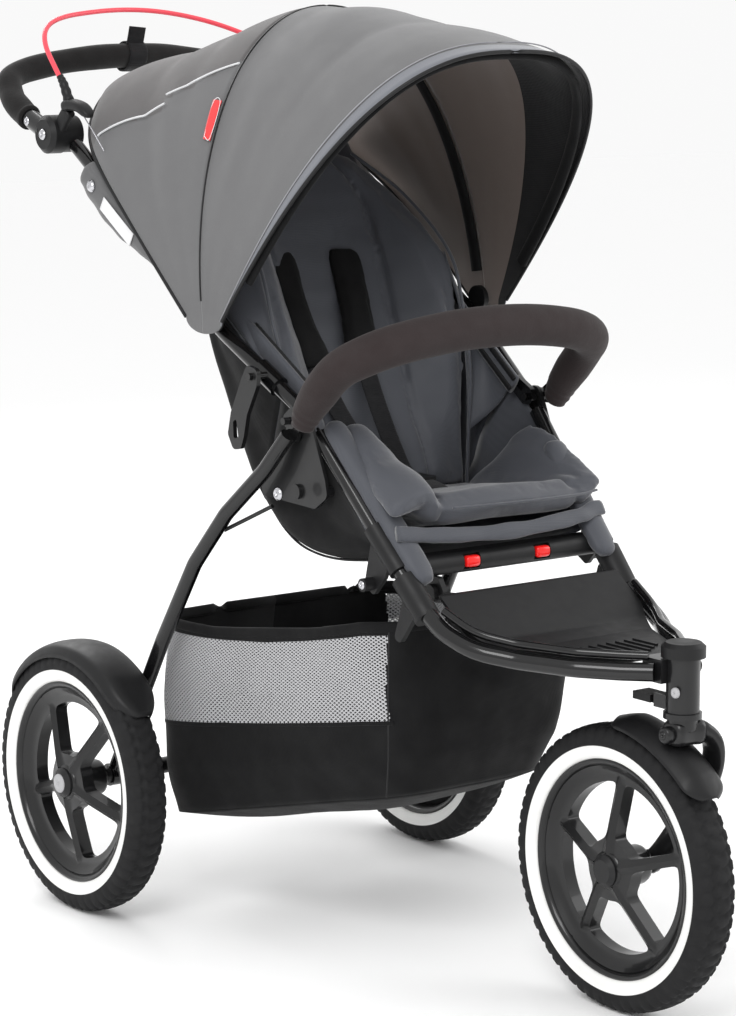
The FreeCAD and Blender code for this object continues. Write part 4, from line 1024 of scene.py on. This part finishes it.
def side_cloths():
    """Slate panels beside the seat, zipped strips along the upper tubes, padded covers on the lower ones."""
    slate = MATERIALS["seat_fabric"]
    for word, side in SIDES:
        top_line = mirrored([(0.146, -0.036, 0.604), (0.151, 0.020, 0.642), (0.157, 0.075, 0.680),
                             (0.160, 0.140, 0.722)], side)
        low_line = mirrored([(0.122, 0.014, 0.545), (0.126, 0.020, 0.612), (0.131, 0.038, 0.680),
                             (0.130, 0.066, 0.745)], side)

        upper, lower = smooth_route(top_line, WEB_ROWS + 1), smooth_route(low_line, WEB_ROWS + 1)

        def web(u, v):
            place = upper[round(v * WEB_ROWS)].lerp(lower[round(v * WEB_ROWS)], u)
            return place + Vector((side * 0.010 * math.sin(math.pi * u), 0, 0))
        panel = grid(f"side_web_{word}", web, 12, WEB_ROWS, [slate])
        thicken(panel, CLOTH_THICK, offset=0)
        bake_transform(panel)
        strip_line = mirrored([(0.139, -0.048, 0.603), (0.144, 0.010, 0.642), (0.150, 0.070, 0.683)], side)
        strip = sweep(f"zip_strip_{word}", strip_line, 0.0042, 0.0115, slate, count=36, around=16, square=3)
        settle(strip, "handle_frame")
        for part, offset in (("upper", 0.0075), ("lower", -0.0065)):
            zip_line = [(x - side * 0.0042, y - 0.0015 - offset * 0.55, z + 0.0015 + offset * 0.8) for x, y,
                        z in strip_line]
            teeth = sweep(f"zip_{part}_{word}", zip_line, 0.0018, 0.0034, PIPING, count=160, around=8,
                          shape=lambda share, angle: 1.0 + 0.22 * math.sin(share * 420))
            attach(teeth, "handle_frame")
        low = Vector((side * 0.1370, -0.212, 0.437))
        high = low.lerp(Vector((side * 0.1500, -0.072, 0.579)), 1.0 if side < 0 else 0.72)
        lift = Vector((-side * 0.0120, -0.0068, 0.0066))
        cover_line = [low.lerp(high, share) + lift for share in (-0.06, 0.2, 0.5, 0.8, 1.0)]
        cover = sweep(f"tube_cover_{word}", cover_line,
                      lambda share: 0.0135 + 0.0025 * math.sin(math.pi * share ** 0.7),
                      lambda share: 0.0085 + 0.0035 * share, slate, count=48, around=22, square=2.6,
                      shape=lambda share, angle: 1 - 0.4 * abs(2 * share - 1) ** 16)
        inflate(cover, 0.0025, voxel=0.004)
        settle(cover, "chassis")
        piping_line = [place + Vector((side * 0.0145, 0.004, -0.004)) for place in cover_line]
        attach(sweep(f"tube_cover_piping_{word}", piping_line, 0.0017, 0.0017, PIPING, count=40, around=8),
                "chassis")
    frame_wraps()


def wrap_half(share):
    return 0.0125 + 0.0100 * math.sin(math.pi * min(1.0, 0.12 + share * 0.95))


def wrap_folds(share, angle):
    """Rounded upper end and folds that wind round the wrap."""
    end = (1 - abs(1 - min(1.0, share / 0.14)) ** 2.2) ** 0.5
    return end * 0.999 + 0.001 + 0.03 * math.sin(share * 40 + angle)


def frame_wraps():
    """Heather cloth round the upper tubes, each with a snap, and a blank care label on the right."""
    top, low = Vector((0.171, 0.340, 0.839)), Vector((0.1715, 0.150, 0.721))
    for word, side in SIDES:
        line = []
        for share in (0.0, 0.12, 0.4, 0.7, 1.0):
            sag = math.sin(math.pi * min(1.0, share * 1.6))
            place = top.lerp(low, share) + Vector((0, 0.0045, -0.0070)) * sag
            line.append((side * place.x, place.y, place.z))
        wrap = sweep(f"frame_wrap_{word}", line, 0.0118, wrap_half, WRAP_CLOTH, count=50, around=24,
                     square=2.3, shape=wrap_folds)
        settle(wrap, "handle_frame")
        bolt(f"wrap_snap_{word}", (side * 0.1825, 0.314, 0.818), 0.0070, 0.0055, "handle_frame",
             outward_x=side, socket=False)
    plate = sweep("care_label", [(-0.1838, 0.292, 0.800), (-0.1840, 0.262, 0.781), (-0.1838, 0.232, 0.762)],
                  0.0085, 0.0005, PAPER, side=(0, 0.54, -0.84), count=20, around=12, square=6)
    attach(plate, "handle_frame")


# ---------------------------------------------------------------- basket

WINDOW_LOW, WINDOW_HIGH = 0.44, 0.955
WINDOW_FRONT, WINDOW_BACK = -0.158, 0.207
LEVEL_HEIGHTS = (0.0, 0.25, 0.6, 1.0)
BASKET_LEVELS = (
    (0.100, 0.170, -0.168, 0.226, 0.190, 0.097),
    (0.114, 0.181, -0.183, 0.228, 0.238, 0.160),
    (0.126, 0.182, -0.186, 0.225, 0.310, 0.250),
    (0.133, 0.185, -0.186, 0.222, 0.380, 0.334),
)


def basket_ring(level, u):
    """Point of the bag at one level; u runs from the back's middle round by the right side."""
    half_front, half_back, y_front, y_back, z_front, z_back = level
    angle = 2 * math.pi * u
    cosine, sine = math.cos(angle), math.sin(angle)
    y = math.copysign(abs(cosine) ** 0.32, cosine)
    x = -math.copysign(abs(sine) ** 0.32, sine)
    share = (1 - y) / 2
    half = half_back + (half_front - half_back) * share
    place_y = y_back + (y_front - y_back) * share
    place_z = z_back + (z_front - z_back) * share
    return Vector((x * half, place_y, place_z))


def basket():
    """Sagging bag with net windows in its sides, a stitched rim and a sewn front corner."""
    black = MATERIALS["black_fabric"]

    def point(u, v):
        rise = 0.02 + 0.98 * v
        index = 0
        while index < 2 and rise > LEVEL_HEIGHTS[index + 1]:
            index += 1
        below, above = LEVEL_HEIGHTS[index:index + 2]
        share = (rise - below) / (above - below)
        level = [a + (b - a) * share for a, b in zip(BASKET_LEVELS[index], BASKET_LEVELS[index + 1])]
        place = basket_ring(level, u)
        middle = Vector((0, 0.02, place.z))
        away = (place - middle)
        away.z = 0
        belly = math.sin(math.pi * min(1, rise)) * 0.007
        dip = math.sin(math.pi * min(1, max(0, (place.y + 0.13) / 0.34))) * 0.013 * rise ** 2
        ripple = noise.noise(place * 14) * 0.004 + noise.noise(place * 33) * 0.0012
        return place + away.normalized() * (belly + ripple - 0.004) - Vector((0, 0, dip))

    def window(u, v):
        place = point(u, v)
        beside = WINDOW_FRONT < place.y < WINDOW_BACK and abs(place.x) > 0.1
        return 1 if beside and WINDOW_LOW < v < WINDOW_HIGH else 0

    walls = grid("basket_cloth", point, 220, 40, [black, WINDOW_NET], window)

    def floor(u, v):
        rim = point(u, 0)
        centre = Vector((0, 0.03, 0.134))
        place = rim.lerp(centre, v)
        return place - Vector((0, 0,
                               math.sin(math.pi * v * 0.9) * 0.012 + noise.noise(place * 12) * 0.004 * v))
    base = grid("basket_floor_cloth", floor, 220, 14, [black])
    for piece in (walls, base):
        thicken(piece, CLOTH_THICK, offset=0)
    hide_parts("basket")
    rim_line = [point(step / 90, 1.0) for step in range(91)]
    rim = sweep("basket_rim_binding", rim_line, 0.0026, 0.0060, black, side=(1, 0, 0), count=220, around=12)
    pieces = [walls, base, rim]
    for word, side in SIDES:
        columns = [0.335 + 0.033 * step / 20 for step in range(21)]
        seam = [point(column if side < 0 else 1 - column, step / 20) for step, column in enumerate(columns)]
        pieces.append(sweep(f"basket_seam_{word}", seam, 0.0013, 0.0013, PIPING, count=60, around=8))
        u_values = [0.103 + (0.362 - 0.103) * step / 30 for step in range(31)]
        if side > 0:
            u_values = [1 - value for value in u_values]
        low = [point(value, WINDOW_LOW) for value in u_values]
        pieces.append(sweep(f"window_hem_{word}", low, 0.0016, 0.0030, black, count=80, around=8))
    for piece in pieces:
        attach(piece, "chassis")


# ---------------------------------------------------------------- foam and small parts

def bumper():
    """Foam sleeve of the bumper bar, thinner and creased towards its ends."""
    near = [(0.1740, -0.078, 0.586), (0.1735, -0.094, 0.610), (0.1700, -0.130, 0.646),
            (0.1540, -0.158, 0.665), (0.1120, -0.175, 0.679), (0.0400, -0.182, 0.688)]
    route = mirrored(near, -1) + near[::-1]

    def size(share):
        end = min(share, 1 - share)
        return 0.0115 + 0.0068 * min(1, end / 0.13) ** 0.8 + 0.0022 * math.sin(math.pi * share)

    def creased(share, angle):
        return 1 + 0.05 * math.sin(angle * 2 + share * 190) * max(0, 1 - min(share, 1 - share) / 0.11)

    foam = sweep("bumper_sleeve", route, size, lambda share: size(share) * 1.08, BUMPER_FOAM, side=(0, 1, 0),
                 count=130, around=30, shape=creased)
    settle(foam, "bumper", "bumper_foam")


def small_parts():
    """Bolts, rivets and the red release buttons."""
    for word, side in SIDES:
        low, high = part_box(f"handle_hub_{word}")
        hub = (low + high) / 2
        cap_low, cap_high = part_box("handle_caps")
        face = cap_high.x if side > 0 else cap_low.x
        bolt(f"handle_bolt_{word}", (face, hub.y, hub.z), 0.0065, 0.0035, "handlebar", outward_x=side)
        plate_low, plate_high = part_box(f"side_plate_{word}")
        face = plate_high.x if side > 0 else plate_low.x
        bolt(f"plate_bolt_{word}", (face - side * 0.0005, -0.052, 0.512), 0.0072, 0.0045, "chassis",
             outward_x=side)
        roller_low, roller_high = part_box(f"roller_bracket_{word}")
        face = roller_high.x if side > 0 else roller_low.x
        bolt(f"roller_bolt_{word}", (face, -0.165, 0.428), 0.0048, 0.0022, "chassis", outward_x=side)
        middle = side * 0.048
        button_line = [(middle - 0.0095, -0.2045, 0.4470), (middle, -0.2055, 0.4470),
                       (middle + 0.0095, -0.2045, 0.4470)]
        button = sweep(f"button_{word}", button_line, 0.0062, 0.0056, MATERIALS["red_plastic"],
                       side=(0, 0, 1), count=26, around=20, square=2.8,
                       shape=lambda share, angle: math.sqrt(1.0001 - abs(2 * share - 1) ** 7))
        settle(button, f"release_button_{word}", replaces=f"release_button_{word}")
    bolt("grip_rivet", (-0.2030, 0.420, 0.888), 0.0052, 0.0022, "handlebar", outward_x=-1)
    bolt("fork_bolt", (-0.0258, -0.480, 0.308), 0.0045, 0.0018, "front_fork",
         MATERIALS["satin_black_steel"], outward_x=-1)
    button = lathe("head_button", [(0, 0.0003), (0, 0.0055), (-0.0025, 0.0052), (-0.0034, 0.0035),
                                   (-0.0034, 0.0003)], (-0.0175, -0.489, 0.352), [PALE_PLASTIC], steps=32)
    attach(button, "chassis")


# ---------------------------------------------------------------- cable and handle

CABLE_DIAMETER = 0.0058
CABLE_ROUTE = [(-0.189, 0.355, 0.924), (-0.190, 0.379, 0.951), (-0.187, 0.406, 0.977),
               (-0.172, 0.426, 0.996), (-0.140, 0.444, 1.006), (-0.095, 0.456, 1.011),
               (-0.048, 0.465, 1.014), (0.0, 0.468, 1.013), (0.046, 0.465, 1.007), (0.092, 0.457, 0.996),
               (0.134, 0.441, 0.979), (0.168, 0.415, 0.965), (0.187, 0.379, 0.948), (0.189, 0.355, 0.924)]


def fold_cable():
    """Sheathed release cable arched over the back of the canopy."""
    curve = bpy.data.curves.new("fold_cable_line", "CURVE")
    curve.dimensions = "3D"
    curve.bevel_depth = CABLE_DIAMETER / 2
    curve.bevel_resolution = 4
    curve.resolution_u = 12
    curve.use_fill_caps = True
    spline = curve.splines.new("NURBS")
    spline.points.add(len(CABLE_ROUTE) - 1)
    for point, place in zip(spline.points, CABLE_ROUTE):
        point.co = (*place, 1)
    spline.order_u = 3
    spline.use_endpoint_u = True
    curve.materials.append(MATERIALS["red_sheath"])
    cable = bpy.data.objects.new("release_cable", curve)
    bpy.context.scene.collection.objects.link(cable)
    settle(cable, "handlebar", replaces="fold_cable")


HANDLE_ROUTE = [(0.1925, 0.430, 0.8912), (0.1925, 0.440, 0.8950), (0.1900, 0.4725, 0.9135),
                (0.1715, 0.5025, 0.9360), (0.1120, 0.5140, 0.9500), (0.0380, 0.5095, 0.9580)]


def grip():
    """Foam sleeve over the handlebar, with rounded ends."""
    route = mirrored(HANDLE_ROUTE, -1) + HANDLE_ROUTE[::-1]

    def size(share):
        end = min(1.0, min(share, 1 - share) / 0.012)
        return 0.0126 + 0.0020 * math.sqrt(end) + 0.0003 * math.sin(share * 60)
    foam = sweep("grip_sleeve", route, size, size, MATERIALS["foam"], side=(0, 1, 0), count=170, around=28)
    settle(foam, "handlebar", "handlebar_grip")


def cable_housings():
    """Small capped housings beside the hubs, each with a bare wire down to the tube."""
    for word, side in SIDES:
        line = mirrored([(0.1880, 0.362, 0.9040), (0.1880, 0.347, 0.9085), (0.1875, 0.326, 0.9060),
                         (0.1870, 0.308, 0.8960)], side)
        shell = sweep(f"cable_cap_{word}", line, 0.0088, lambda share: 0.0078 - 0.0028 * share,
                      MATERIALS["black_plastic"], count=40, around=24, square=3,
                      shape=lambda share, angle: math.sqrt(1.0001 - abs(2 * share - 1) ** 5))
        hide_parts(f"cable_housing_{word}")
        link = sweep(f"cable_cap_link_{word}", mirrored([(0.1880, 0.352, 0.902), (0.1885, 0.362, 0.892),
                                                         (0.1890, 0.372, 0.880)], side), 0.0060, 0.0085,
                     MATERIALS["black_plastic"], count=14, around=18, square=3)
        wire = sweep(f"bare_wire_{word}", mirrored([(0.1850, 0.330, 0.900), (0.1820, 0.312, 0.880),
                                                    (0.1785, 0.294, 0.858)], side), 0.0007, 0.0007,
                     BRIGHT_STEEL, count=16, around=8)
        for piece in (shell, link, wire):
            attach(piece, "handlebar")


def handle_parts():
    """Grip, cable housings and boots, and the wrist strap."""
    grip()
    cable_housings()

    def taper(share):
        return 0.0062 - 0.0022 * share
    for word, side in SIDES:
        tip = Vector(mirrored([(0.189, 0.355, 0.924)], side)[0])
        boot_line = [tip + Vector((0, -0.005, -0.012)), tip + Vector((0, 0.005, 0.006)),
                     tip + Vector((side * 0.0003, 0.013, 0.016))]
        boot = sweep(f"cable_boot_{word}", boot_line, taper, taper, MATERIALS["black_plastic"], count=24,
                     around=16, shape=lambda share, angle: 1 + 0.07 * math.sin(share * 26))
        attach(boot, "handlebar")
    loop_line = []
    for step in range(13):
        angle = 2 * math.pi * step / 12
        loop_line.append((0.002 * math.sin(angle), 0.511 + 0.0175 * math.cos(angle),
                          0.958 + 0.0175 * math.sin(angle)))
    band = sweep("wrist_strap_loop", loop_line, 0.0125, 0.0010, STRAP, side=(1, 0, 0), count=60, around=12,
                 square=5)
    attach(band, "handlebar")
    tail = sweep("wrist_strap_tail", [(0.0, 0.503, 0.972), (0.001, 0.501, 0.982), (0.002, 0.499, 0.993)],
                 0.0120, 0.0016, STRAP, count=16, around=12, square=5)
    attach(tail, "handlebar")


# ---------------------------------------------------------------- light, floor and camera

FLOOR_REACH = 12
LAMPS = (("key", (-2.2, -1.6, 2.6), 1.6, 55), ("fill", (2.6, -1.4, 1.8), 1.8, 26),
         ("back", (0.4, 2.6, 2.4), 1.6, 34))


def studio():
    """White floor, even white surroundings and three soft lamps aimed at the middle of the object."""
    floor = grid("studio_floor", lambda u, v: (FLOOR_REACH * (2 * u - 1), FLOOR_REACH * (2 * v - 1), 0), 2, 2,
                 [Finish("studio floor", (1, 1, 1, 1), 0.95, spread=0.0, grain=0.3).material])
    world = bpy.data.worlds.new("studio")
    bpy.context.scene.world = world
    world.use_nodes = True
    background = world.node_tree.nodes["Background"]
    background.inputs["Color"].default_value = (1, 1, 1, 1)
    background.inputs["Strength"].default_value = 0.95
    for name, place, size, power in LAMPS:
        data = bpy.data.lights.new(name, "AREA")
        data.size = size
        data.energy = power
        lamp = bpy.data.objects.new(name, data)
        lamp.location = place
        lamp.rotation_mode = "QUATERNION"
        lamp.rotation_quaternion = (Vector(place) - Vector((0, 0, 0.5))).to_track_quat("Z", "Y")
        bpy.context.scene.collection.objects.link(lamp)
    bpy.context.scene.view_settings.view_transform = "Standard"


CAMERA_PLACE = (-2.11036, -2.73976, 1.04152)
CAMERA_AZIMUTH, CAMERA_ELEVATION = math.radians(-37.228), math.radians(9.436)
LENS, LENS_SHIFT = 112.15, 0.004


def camera():
    """Camera at the photograph's viewing angle; azimuth 0 looks along y."""
    level = math.cos(CAMERA_ELEVATION)
    back = Vector((math.sin(CAMERA_AZIMUTH) * level, -math.cos(CAMERA_AZIMUTH) * level,
                   math.sin(CAMERA_ELEVATION)))
    data = bpy.data.cameras.new("photo view")
    data.sensor_width = 36
    data.lens = LENS
    data.shift_y = LENS_SHIFT
    data.clip_start = 0.1
    view = bpy.data.objects.new("photo view", data)
    view.location = CAMERA_PLACE
    view.rotation_mode = "QUATERNION"
    view.rotation_quaternion = back.to_track_quat("Z", "Y")
    bpy.context.scene.collection.objects.link(view)
    bpy.context.scene.camera = view


def main():
    finish_cad_parts()
    wheels()
    canopy()
    seat()
    basket()
    bumper()
    small_parts()
    fold_cable()
    handle_parts()
    studio()
    camera()


main()
